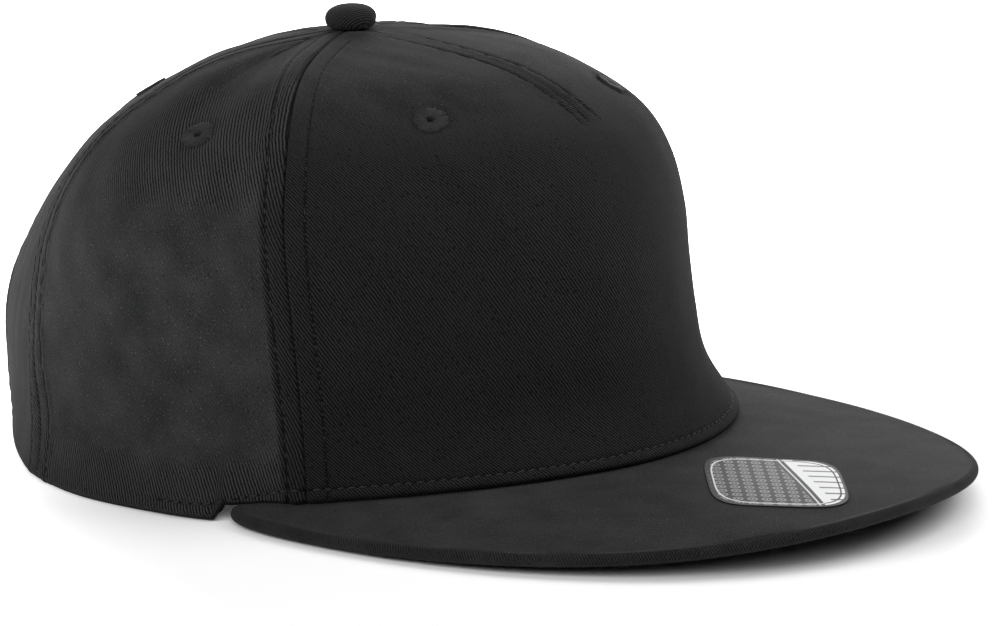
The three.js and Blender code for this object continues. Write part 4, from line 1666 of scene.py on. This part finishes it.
def grained(across: Array, along: Array, grain: float) -> Array:
    """Turn surface coordinates so that the twill's ribs run along the first one.

    Args:
        across: Distances to the right, as seen from outside.
        along: Distances upwards.
        grain: How steeply the ribs fall to the right, in degrees.

    Returns:
        The cloth map's coordinates.
    """
    turn = math.radians(grain)
    ribs = across * math.cos(turn) - along * math.sin(turn)
    over = across * math.sin(turn) + along * math.cos(turn)
    return np.stack([ribs, over], axis=-1)


@dataclass
class Crown(Piece):
    """The five panels of the crown and their stitches."""

    arch: Arch = field(default_factory=Arch)

    def seam(self, which: str, sign: float) -> Callable[[Array], Array]:
        """Give a seam's angle as a function of the share of the way up."""
        rows = self.form.front_seams if which == "front" else self.form.back_seams
        return lambda up: sign * between(self.form.seam_ups, rows, up)

    def build(self) -> None:
        """Make the panels and sew them."""
        front, side, back = EYELET_PLACES
        shared = {"form": self.form, "wardrobe": self.wardrobe}
        panel = Panel(
            **shared, name="crown_front_panel", start=self.seam("front", -1), stop=self.seam("front", 1),
            start_seam=Seam.FRONT, stop_seam=Seam.FRONT, wall=self.walls.front, grain=57.0,
            softness=0.07 * MM, seed=3, dart=True, eyelets=((-1, front), (1, front)),
        )
        panel.build()
        needle = Needle(**shared)
        rows = [panel.seam_path(True, 0.03, 0.945), panel.seam_path(False, 0.03, 0.945)]
        rows += [panel.dart_path(0), panel.dart_path(1)]
        for seed, row in enumerate(rows):
            needle.sew(row, seed)
        needle.sew(panel.rim_path(-57.6, 57.6), 9, 0.12 * MM)
        needle.finish("crown_front_stitches")
        for label, sign in (("right", -1), ("left", 1)):
            self.build_side(label, sign, side, back, shared)

    def build_side(self, label: str, sign: float, side: EyeletPlace, back: EyeletPlace, shared: dict) -> None:
        """Make one side panel and one back panel, and sew them.

        Args:
            label: The wearer's right or left.
            sign: -1 on the right, 1 on the left.
            side: The side eyelet.
            back: The back eyelet.
            shared: What every piece is given.
        """
        edges = [(self.seam("front", sign), Seam.SIDE_AHEAD), (self.seam("back", sign), Seam.SIDE_BEHIND)]
        middle = [(self.seam("back", sign), Seam.BACK_AHEAD), (lambda up: sign * 180.0 + 0 * up, Seam.BACK_MIDDLE)]
        if sign < 0:
            edges.reverse()
            middle.reverse()
        side_panel = Panel(
            **shared, name=f"crown_side_panel_{label}", start=edges[0][0], start_seam=edges[0][1],
            stop=edges[1][0], stop_seam=edges[1][1], wall=self.walls.cloth, grain=66.0 if sign < 0 else 60.0,
            seed=11 + int(sign), eyelets=((sign, side),),
        )
        side_panel.build()
        back_panel = Panel(
            **shared, name=f"crown_back_panel_{label}", start=middle[0][0], start_seam=middle[0][1],
            stop=middle[1][0], stop_seam=middle[1][1], wall=self.walls.cloth, grain=50.0,
            seed=21 + int(sign), eyelets=((sign, back),), arch=self.arch,
        )
        back_panel.build()
        near = sign > 0
        rim = (-79.5, -59.0) if sign < 0 else (59.0, 79.5)
        rows = [side_panel.seam_path(near, 0.03, 0.93), side_panel.seam_path(not near, 0.01, 0.92)]
        rows += [back_panel.seam_path(near, 0.01, 0.92)]
        rows += [back_panel.seam_path(not near, 0.61, 0.90)]
        rows += [back_panel.arch_path(out, sign) for out in (self.arch.row_at, self.arch.second_row_at)]
        needle = Needle(**shared)
        needle.sew(side_panel.rim_path(*rim), 8, 0.12 * MM)
        for seed, row in enumerate(rows):
            needle.sew(row, 12 + seed)
        needle.finish(f"crown_{label}_stitches")


@dataclass
class Eyelets(Piece):
    """Six embroidered air holes."""

    hole: float = 0.85 * MM
    radius: float = 4.30 * MM
    rise: float = 0.34 * MM
    wraps: int = 54

    def build(self) -> None:
        """Make every eyelet."""
        for sign, label in ((-1, "right"), (1, "left")):
            for number, place in enumerate(EYELET_PLACES):
                self.build_one(f"eyelet_{place.name}_{label}", sign, place, 10 * number + sign)

    def build_one(self, name: str, sign: float, place: EyeletPlace, seed: int) -> None:
        """Make one eyelet: a padded ring under radial thread wraps.

        Args:
            name: The CAD node that it replaces.
            sign: -1 on the wearer's right, 1 on the left.
            place: Where it sits.
            seed: Which irregularities are drawn.
        """
        draw = np.random.default_rng(500 + seed)
        angle, up = np.array(place.angle(sign)), np.array(place.up)
        base = self.form.surface(angle, up, self.form.push(angle, up))
        stand = frame_on(base, self.form.outward(angle, up), np.array([0.0, 0.0, 1.0]))
        hole, radius, rise = self.hole, self.radius - 0.25 * MM, self.rise
        inside, bottom = (hole + 0.15 * MM, -place.wall - 0.2 * MM), hole + 1.0 * MM
        barrel = [inside, (bottom, inside[1]), (bottom, -0.4 * MM), (radius, -0.35 * MM)]
        outer = [(radius, 0.2 * rise), (radius - 0.4 * MM, 0.72 * rise), (radius - 1.3 * MM, 0.95 * rise)]
        inner = [(hole + out, up * rise) for out, up in ((0.9 * MM, 0.86), (0.3 * MM, 0.45), (0.12 * MM, -0.4))]
        ring = turned([*barrel, *outer, *inner, inside], 64)
        wobble = draw.uniform(0, 2 * math.pi, 3)

        def edge(turn: float) -> float:
            waves = math.sin(3 * turn + wobble[0]) + 0.8 * math.sin(7 * turn + wobble[1])
            return 1 + 0.030 * waves + 0.02 * math.sin(13 * turn + wobble[2])

        for vert in ring.verts:
            away = math.hypot(vert.co.x, vert.co.y)
            if away > hole + 0.5 * MM:
                grow = edge(math.atan2(vert.co.y, vert.co.x))
                vert.co.x *= grow
                vert.co.y *= grow
        template = capsule(6, 6)
        places = []
        for k in range(self.wraps):
            turn = 2 * math.pi * (k + float(draw.uniform(-0.28, 0.28))) / self.wraps
            outer = self.radius * edge(turn) * float(draw.uniform(0.95, 1.05))
            inner = hole + float(draw.uniform(-0.05, 0.25)) * MM
            middle, half = (outer + inner) / 2, (outer - inner) / 2
            height = rise * float(draw.uniform(0.70, 0.90))
            at = Matrix.Rotation(turn, 4, "Z") @ Matrix.Translation((middle, 0, height))
            lean = Matrix.Rotation(float(draw.normal(0.0, 0.10)), 4, "Z")
            width = float(draw.uniform(0.19, 0.30)) * MM
            places.append(stand @ at @ lean @ Matrix.Diagonal((half, width, 0.24 * MM, 1.0)))
        bmesh.ops.transform(ring, verts=ring.verts[:], matrix=stand)
        bm = stamped(template, places)
        bpy.data.meshes.remove(template)
        absorb(bm, ring)
        made = self.dress(name + "_thread", bm, Slot.THREAD, 60.0)
        self.publish(made, Slot.THREAD, name)


@dataclass
class Button(Piece):
    """The cloth-covered button on top of the crown."""

    radius: float = 6.6 * MM
    rise: float = 5.7 * MM
    washer: float = 1.0 * MM
    grain: float = 20.0

    def build(self) -> Object:
        """Make the button with its shank and washer."""
        seat = self.form.height + self.walls.gap
        under = self.form.height - self.walls.front - self.walls.lining_gap
        rise, radius, shank = self.rise, self.radius, self.walls.shank
        crown = [(math.cos(t) ** 0.80, math.sin(t) ** 0.95) for t in np.linspace(0.0, math.pi / 2 - 0.02, 18)]
        waist = seat + 0.42 * rise
        dome = [(radius * c, waist + 0.58 * rise * s) for c, s in crown]
        belly = [
            (radius * (1 - 0.24 * (1 - math.cos(t)) ** 1.1), waist - 0.42 * rise * math.sin(t))
            for t in np.linspace(math.pi / 2, 0.12, 8)
        ]
        edge = radius - 0.8 * MM
        washer = [(0.0, under - self.washer), (edge, under - self.washer), (edge, under)]
        neck = [(shank, under), (shank, seat + 0.02 * rise)]
        bm = turned([*washer, *neck, *belly, *dome, (0.0, seat + rise)], 96)
        layers = {name: bm.loops.layers.uv.new(name) for name in (CLOTH_MAP, SEWING_MAP, TOUCH_MAP)}
        for face in bm.faces:
            for loop in face.loops:
                co = loop.vert.co
                turn = math.atan2(co.y, co.x)
                reach = math.hypot(co.x, co.y) + max(0.0, seat + 0.8 * rise - co.z)
                chart = grained(np.array(reach * math.cos(turn)), np.array(reach * math.sin(turn)), self.grain)
                for name, values in plain_maps(chart, np.array(0.6), np.array(0.2)).items():
                    loop[layers[name]].uv = values
        for vert in bm.verts:
            if vert.co.z < seat:
                continue
            turn = math.atan2(vert.co.y, vert.co.x)
            low = max(0.0, 1 - (vert.co.z - seat) / (0.75 * rise))
            away = math.hypot(vert.co.x, vert.co.y) / radius
            gather = 0.16 * MM * low**1.5 * float(wander(np.array(turn * radius), 2.4 * MM, 0.8)) * away
            lump = 0.22 * MM * math.sin(turn * 2 + 0.6) * away + 0.12 * MM * math.sin(3 * turn + 2.0) * away
            vert.co.x += (gather + lump) * math.cos(turn)
            vert.co.y += (gather + lump) * math.sin(turn)
            vert.co.z += 0.18 * MM * math.sin(turn + 2.2) * away**2
        made = self.dress("top_button_cloth", bm, Slot.TWILL, 60.0)
        return self.publish(made, Slot.TWILL, "top_button")


@dataclass
class Peak(Piece):
    """The flat peak and the label on it."""

    length: float = 70.3 * MM
    flare: float = 6.0 * MM
    tail: float = 20.0 * MM
    thickness: float = 3.0 * MM
    tip_height: float = 11.8 * MM
    end_angle: float = 69.0
    flange: float = 4.4 * MM
    label_length: float = 44.0 * MM
    label_width: float = 32.5 * MM
    label_side: float = -7.5 * MM
    label_forward: float = 32.8 * MM
    label_long_turn: float = 40.0
    label_short_turn: float = -64.0
    label_wall: float = 0.28 * MM

    def __post_init__(self) -> None:
        """Work out where the peak ends at the crown."""
        inset = np.array(-self.walls.front) + self.form.push(np.array(self.end_angle), np.array(0.0))
        end = self.form.surface(np.array(self.end_angle), np.array(0.0), inset)
        self.end_x, self.end_y = float(end[0]), float(end[1])
        self.widest = self.end_y - self.tail
        self.fore = self.form.front_reach + self.length + self.widest

    def edge(self, turn: Array) -> Array:
        """Give the peak's edge in plan.

        Args:
            turn: Degrees, 0 at the tip, 90 at the widest place and 180 at the end.

        Returns:
            Points in plan.
        """
        s, c = np.sin(np.radians(turn)), np.cos(np.radians(turn))
        inner = np.where(c > 0, 0.0, self.end_x)
        across = inner + (self.end_x + self.flare - inner) * np.abs(s)
        return np.stack([np.sign(turn) * across, self.widest - c * np.where(c > 0, self.fore, self.tail)], axis=-1)

    def top(self, x: Array, y: Array) -> Array:
        """Give the height of the peak's top."""
        across = np.abs(x) / (self.end_x + self.flare)
        arch = self.tip_height * (1 - 1.30 * across**2 + 0.62 * across**4)
        along = np.sqrt(np.maximum(0.0, 1 - (x / self.form.half_width) ** 2))
        forward = np.clip((-y - self.form.front_reach * along) / self.length, 0.0, 1.0)
        seat = self.form.seat_height(x) - self.walls.gap
        return seat + (arch - seat) * forward**1.5

    def build(self) -> None:
        """Make the peak and its label."""
        self.build_peak()
        self.build_label()

    def build_peak(self) -> Object:
        """Make the peak: a board between two layers of cloth, with a rounded rim."""
        share = np.linspace(-1.0, 1.0, 361)
        turns = 180 * share
        half = self.thickness / 2
        edge = self.edge(turns)
        run = self.edge(np.minimum(turns + 0.5, 180)) - self.edge(np.maximum(turns - 0.5, -180))
        inward = unit(np.stack([-run[..., 1], run[..., 0]], axis=-1))
        angle = (self.end_angle - 1) * share
        zero = np.zeros_like(angle)
        start = self.form.surface(angle, zero, self.form.push(angle, zero) - self.flange)[..., :2]
        rim = edge + inward * half
        flat = np.linspace(0.0, 1.0, 46)[:, None, None]
        tilt = np.radians([-88, *range(-75, 76, 15), 88])[:, None, None]
        board = start * (1 - flat) + rim * flat
        lip = rim - inward * half * np.cos(tilt)
        top = self.top(board[..., 0], board[..., 1])
        soft = self.softness(board[..., 0], board[..., 1]) * smoothstep(flat[..., 0], 0.1, 0.5)
        nose = self.top(lip[..., 0], lip[..., 1]) - half * (1 + np.sin(tilt[..., 0]))
        over = np.concatenate([board, (top + soft)[..., None]], axis=-1)
        round_edge = np.concatenate([lip, nose[..., None]], axis=-1)
        under = np.concatenate([board, (top - self.thickness)[..., None]], axis=-1)[::-1]
        points = np.concatenate([over, round_edge, under])
        length = running(np.linalg.norm(np.diff(edge, axis=0), axis=-1))
        band = np.broadcast_arrays(length, -half * (tilt[..., 0] + math.pi / 2))
        over_map = grained(board[..., 0], board[..., 1], 52.0)
        under_map = grained(board[::-1, ..., 0] + FAR, board[::-1, ..., 1], 40.0)
        chart = np.concatenate([over_map, grained(1.25 * band[0], 1.25 * band[1], 62.0), under_map])
        strength = np.concatenate([0.05 + 0 * top, 0.35 + 0 * nose, 0.5 + 0 * top])
        # painted shade: darker on the top near the rim and on the rounded edge
        shade = smoothstep(flat[..., 0], 0.97, 1.0) * 0.15 + 0 * top
        painted_shade = np.concatenate([shade, 0.3 + 0 * nose, 0 * top])
        maps = plain_maps(chart, strength, painted_shade)
        made = self.dress("peak_cloth", wrapped_sheet(points, maps), Slot.TWILL, 70.0)
        return self.publish(made, Slot.TWILL, "peak")

    def softness(self, x: Array, y: Array) -> Array:
        """Give the slight unevenness of the peak's top."""
        return 0.10 * MM * ripple(x, y, 34 * MM, 9)

    def build_label(self) -> Object:
        """Make the label: a thin rounded sticker that follows the peak."""
        bm = bmesh.new()
        bmesh.ops.create_circle(bm, cap_ends=True, cap_tris=True, segments=96, radius=1.0)
        bmesh.ops.subdivide_edges(bm, edges=bm.edges[:], cuts=3, use_grid_fill=True)
        layer = bm.loops.layers.uv.new(CLOTH_MAP)
        middle_y = -(self.form.front_reach + self.label_forward)
        for vert in bm.verts:
            reach = min(1.0, math.hypot(vert.co.x, vert.co.y))
            turn = math.atan2(vert.co.y, vert.co.x)
            c, s = math.cos(turn), math.sin(turn)
            vert.co.x = self.label_length / 2 * reach * math.copysign(abs(c) ** 0.44, c)
            vert.co.y = -self.label_width / 2 * reach * math.copysign(abs(s) ** 0.44, s)
        for face in bm.faces:
            for loop in face.loops:
                loop[layer].uv = (loop.vert.co.x, loop.vert.co.y)
        long_turn, short_turn = math.radians(self.label_long_turn), math.radians(self.label_short_turn)
        for vert in bm.verts:
            along, across = vert.co.x, vert.co.y
            x = self.label_side + along * math.cos(long_turn) + across * math.cos(short_turn)
            y = middle_y + along * math.sin(long_turn) + across * math.sin(short_turn)
            lift = float(self.top(np.array(x), np.array(y)) + self.softness(np.array(x), np.array(y)))
            vert.co = (x, y, lift + self.label_wall + 0.03 * MM)
        bmesh.ops.recalc_face_normals(bm, faces=bm.faces[:])
        made = self.dress("peak_label_paper", bm, Slot.PAPER, 40.0)
        thick = made.modifiers.new("thickness", "SOLIDIFY")
        thick.thickness = self.label_wall
        thick.offset = -1.0
        settle(made, 40.0)
        return self.publish(made, Slot.PAPER, "peak_label")


@dataclass
class Sweatband(Piece):
    """The tape inside the rim, from one side of the arch round the front to the other."""

    height: float = 30 * MM
    wall: float = 1.2 * MM
    arch_edge: float = 180 - math.degrees(math.asin(Arch.half_width / CrownForm.half_width))
    arch_gap: float = 4 * MM
    row_at: float = 2.6 * MM
    strap_nest: float = 3.4 * MM
    strap_tuck: float = 16 * MM

    def tail_end(self) -> float:
        """Give the angle where the straps' tails end inside the crown."""
        return self.arch_edge - self.strap_tuck / self.form.rim_pace(self.arch_edge)

    def build(self) -> Object:
        """Make the band and its stitches."""
        form, walls = self.form, self.walls
        end = self.arch_edge - self.arch_gap / form.rim_pace(self.arch_edge)
        angle = np.linspace(-end, end, 520)
        side = np.abs(angle)
        seam = form.front_seams[0]
        front, cloth = walls.front + walls.lining_gap, walls.cloth + walls.lining_gap
        depth = front + (cloth - front) * smoothstep(side, seam + 2, seam + 10)
        tail = self.tail_end()
        nest = self.strap_nest + walls.gap
        depth = depth + (nest - depth) * smoothstep(side, tail - 8, tail - 1)
        clear = np.zeros_like(angle)
        for turn in (-4, -2, 0, 2, 4):
            for up in (0, 0.05, 0.10, 0.15, 0.20, 0.25, 0.30):
                clear = np.maximum(clear, -form.push(angle + turn, np.full(angle.shape, up)))
        depth = depth + clear
        low = form.rim_height(angle, form.drape(angle)[0]) + walls.lining_gap
        share = spaced(self.height, 1.4 * MM, [(0.0, 4 * MM, 0.5 * MM), (self.height, 3 * MM, 0.6 * MM)])[:, None]
        rise = share * self.height
        swell = 0.5 + 0.5 * ripple(angle[None] * 1.7 * MM, rise, 22 * MM, 31)
        soft = 0.25 * MM * swell * smoothstep(rise, 0, 8 * MM)
        roll = 0.5 * MM * (tuck(rise, 1.2 * MM) + tuck(self.height - rise, 1.2 * MM))
        row = 0.2 * MM * bell(rise, self.row_at, 0.5 * MM)
        outer = form.inside(angle[None], low[None] + rise, depth[None] + soft)
        inner = form.inside(angle[None], low[None] + rise, depth[None] + soft + self.wall - roll - row)
        run = running(np.linalg.norm(np.diff(outer[0], axis=0), axis=1))
        chart = np.stack(np.broadcast_arrays(run[None], rise), axis=-1)
        made = self.dress("sweatband_tape", layered_sheet(outer, inner, {CLOTH_MAP: chart}), Slot.LINING)
        self.publish(made, Slot.LINING, "sweatband")
        needle = Needle(form=form, wardrobe=self.wardrobe, sink=0.0)
        k = int(np.argmin(np.abs(rise[:, 0] - self.row_at)))
        needle.sew(Path(inner[k], -form.outward(angle, np.full(angle.shape, 0.02)), run), seed=31)
        needle.finish("sweatband_stitches")
        return made


@dataclass
class SnapStraps(Piece):
    """Two moulded straps that fasten over each other with pegs and holes."""

    height: float = 20 * MM
    wall: float = 1.2 * MM
    lift: float = 1.5 * MM
    pitch: float = 9.5 * MM
    count: int = 7
    fastened: int = 5
    peg: float = 1.7 * MM
    head: float = 1.2 * MM
    tail_end: float = 141.0

    def build(self) -> None:
        """Make both straps."""
        form, walls = self.form, self.walls
        seat = walls.cloth + walls.lining_gap
        nest = seat + self.wall + walls.gap
        turn = self.pitch / form.rim_pace(180.0)
        reach = (self.fastened - 1) / 2
        tip = (reach + 0.56) * turn
        holes_tip, pegs_tip = 180 + tip, 180 - tip
        outer_strap = self.strap("snap_strap_holes_plastic", self.tail_end, holes_tip, lambda a: seat + 0 * a, False)
        for k in range(self.count):
            place = self.stand(180 + (reach - k) * turn, seat)
            drill = bmesh.new()
            wide = self.peg + walls.gap
            bmesh.ops.create_cone(drill, cap_ends=True, segments=28, radius1=wide, radius2=wide, depth=6 * MM)
            bmesh.ops.transform(drill, verts=drill.verts[:], matrix=place)
            carve(outer_strap, drill)
        self.soften(outer_strap)
        self.publish(outer_strap, Slot.PLASTIC, "snap_strap_holes")

        def pegs_depth(angle: Array) -> Array:
            return nest + (seat - nest) * smoothstep(angle, holes_tip + 3, holes_tip + 12)

        inner_strap = self.strap("snap_strap_pegs_plastic", pegs_tip, 360 - self.tail_end, pegs_depth, True)
        self.soften(inner_strap)
        bm = bmesh.new()
        bm.from_mesh(inner_strap.data)
        for k in range(self.count):
            angle = 180 + (k - reach) * turn
            place = self.stand(angle, float(pegs_depth(np.array(angle))))
            rise = self.wall + walls.gap + self.head
            radius = self.peg
            dome = [(0.97, 0.74), (0.86, 0.87), (0.62, 0.96), (0.3, 1.0), (0.0, 1.0)]
            profile = [(0.0, -self.wall * 0.6), (radius, -self.wall * 0.6), (radius, 0.62 * rise)]
            stud = turned(profile + [(radius * out, rise * up) for out, up in dome], 24)
            bmesh.ops.transform(stud, verts=stud.verts[:], matrix=place)
            absorb(bm, stud)
        bm.to_mesh(inner_strap.data)
        bm.free()
        smooth(inner_strap.data, 40.0)
        self.publish(inner_strap, Slot.PLASTIC, "snap_strap_pegs")

    def stand(self, angle: float, depth: float) -> Matrix:
        """Give the frame of a peg or hole at an angle, level and pointing outwards."""
        middle = self.lift + self.height / 2
        at = np.array(angle)
        point = self.form.inside(at, middle, depth)
        behind = self.form.inside(at, middle, depth + self.wall)
        direction = (point - behind) * np.array([1, 1, 0])
        return frame_on(point, direction, np.array([0, 0, 1.0]))

    def strap(self, name: str, low: float, high: float, depth: Callable[[Array], Array], tip_first: bool) -> Object:
        """Make one strap with a rounded tip.

        Args:
            name: The piece's name.
            low: The angle where it starts.
            high: The angle where it ends.
            depth: Its depth inside the crown at an angle.
            tip_first: Whether its tip is at the start.

        Returns:
            The strap.
        """
        pace = self.form.rim_pace(180.0)
        round_off = 0.4 * self.height
        length = (high - low) * pace
        place = spaced(length, 1.2 * MM, [(0.0, round_off, 0.35 * MM)]) * length
        from_tip = place if tip_first else place[::-1]
        angle = low + place / pace if tip_first else high - place[::-1] / pace
        bite = np.maximum(0.0, round_off - from_tip)
        narrow = round_off - np.sqrt(np.maximum(0.0, round_off**2 - bite**2))
        share = np.linspace(0, 1, 17)[:, None]
        bottom, top = self.lift + narrow[None], self.lift + self.height - narrow[None]
        height = bottom + (top - bottom) * share
        inset = depth(angle)[None] + 0 * height
        outer = self.form.inside(angle[None], height, inset)
        inner = self.form.inside(angle[None], height, inset + self.wall)
        chart = np.stack(np.broadcast_arrays(place[None], height), axis=-1)
        return self.dress(name, layered_sheet(outer, inner, {CLOTH_MAP: chart}), Slot.PLASTIC, 40.0)

    def soften(self, strap: Object) -> None:
        """Round the strap's edges."""
        bevel = strap.modifiers.new("rounding", "BEVEL")
        bevel.width = 0.28 * MM
        bevel.segments = 2
        bevel.limit_method = "ANGLE"
        bevel.angle_limit = math.radians(50)
        settle(strap, 40.0)


# Light and camera


@dataclass(frozen=True)
class SoftLight:
    """A soft area light, aimed at a point over the cap."""

    name: str
    azimuth: float
    elevation: float
    distance: float
    size: float
    power: float

    def build(self) -> Object:
        """Place the light."""
        light = bpy.data.lights.new(self.name, "AREA")
        light.shape = "DISK"
        light.size = self.size
        light.energy = self.power
        made = linked(self.name, light)
        face(made, (0.0, -0.03, 0.04), self.azimuth, self.elevation, self.distance)
        return made


def face(made: Object, aim: Sequence[float], azimuth: float, elevation: float, distance: float) -> None:
    """Place a light or a camera so that it faces a point.

    Args:
        made: The light or camera.
        aim: The point.
        azimuth: The direction it looks from in degrees; 0 looks along +Y.
        elevation: How far above the horizon it stands, in degrees.
        distance: How far from the point it stands.
    """
    a, e = math.radians(azimuth), math.radians(elevation)
    back = Vector((math.sin(a) * math.cos(e), -math.cos(a) * math.cos(e), math.sin(e)))
    made.location = Vector(aim) + back * distance
    made.rotation_euler = back.to_track_quat("Z", "Y").to_euler()


@dataclass
class Studio:
    """Floor, soft light and camera."""

    azimuth: float = -50.55
    elevation: float = 11.76
    distance: float = 1.1042
    lens: float = 160.8
    aim: tuple[float, float, float] = (0.0, -0.0306, 0.0612)
    shift: tuple[float, float] = (0.0544, -0.1083)
    floor_half: float = 6.0
    world: float = 0.01
    lights: tuple[SoftLight, ...] = (
        SoftLight("overhead_softbox", 60.0, 78.0, 1.5, 1.6, 7.0),
        SoftLight("back_softbox", 130.0, 18.0, 1.5, 1.2, 14.0),
        SoftLight("left_softbox", -100.0, 30.0, 1.5, 1.0, 10.0),
        SoftLight("right_softbox", 48.0, 40.0, 1.5, 1.0, 13.0),
        SoftLight("camera_softbox", -50.0, 35.0, 1.5, 1.0, 11.0),
    )

    def build(self) -> None:
        """Set the studio up."""
        bm = bmesh.new()
        bmesh.ops.create_grid(bm, x_segments=8, y_segments=8, size=self.floor_half)
        bmesh.ops.translate(bm, verts=bm.verts[:], vec=(0, 0, -0.0003))
        floor = as_object("studio_floor", bm, PaleFloor().build())
        floor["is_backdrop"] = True
        bpy.context.scene.world = self.surroundings()
        for light in self.lights:
            light.build()
        bpy.context.scene.view_settings.view_transform = "Standard"
        data = bpy.data.cameras.new("photo_camera")
        data.sensor_width = 36.0
        data.sensor_fit = "HORIZONTAL"
        data.lens = self.lens
        data.shift_x, data.shift_y = self.shift
        data.clip_start, data.clip_end = 0.01, 50.0
        camera = linked("photo_camera", data)
        face(camera, self.aim, self.azimuth, self.elevation, self.distance)
        bpy.context.scene.camera = camera

    def surroundings(self) -> bpy.types.World:
        """Make a world that looks white and lights the cap only a little."""
        world = bpy.data.worlds.new("studio_world")
        world.use_nodes = True
        tree = world.node_tree
        background = tree.nodes["Background"]
        background.inputs["Color"].default_value = (0.97, 0.98, 1.0, 1.0)
        ray = tree.nodes.new("ShaderNodeLightPath")
        strength = tree.nodes.new("ShaderNodeMapRange")
        strength.inputs["To Min"].default_value = self.world
        strength.inputs["To Max"].default_value = 1.05
        tree.links.new(ray.outputs["Is Camera Ray"], strength.inputs["Value"])
        tree.links.new(strength.outputs["Result"], background.inputs["Strength"])
        return world


def write_sizes() -> None:
    """Work out the CAD box and the visual model's box."""
    boxes = {"cad": CAD_BOX, "visual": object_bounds()}
    plain = {name: [[float(value) for value in corner] for corner in box] for name, box in boxes.items()}


def main() -> None:
    """Build the cap's pieces in order, then the studio."""
    logging.basicConfig(level=logging.INFO, format="%(name)s %(message)s")
    form = CrownForm()
    wardrobe = Wardrobe()
    Crown(form, wardrobe).build()
    Eyelets(form, wardrobe).build()
    Button(form, wardrobe).build()
    Peak(form, wardrobe).build()
    band = Sweatband(form, wardrobe)
    band.build()
    SnapStraps(form, wardrobe, tail_end=band.tail_end()).build()
    Studio().build()
    write_sizes()


if __name__ == "__main__":
    main()
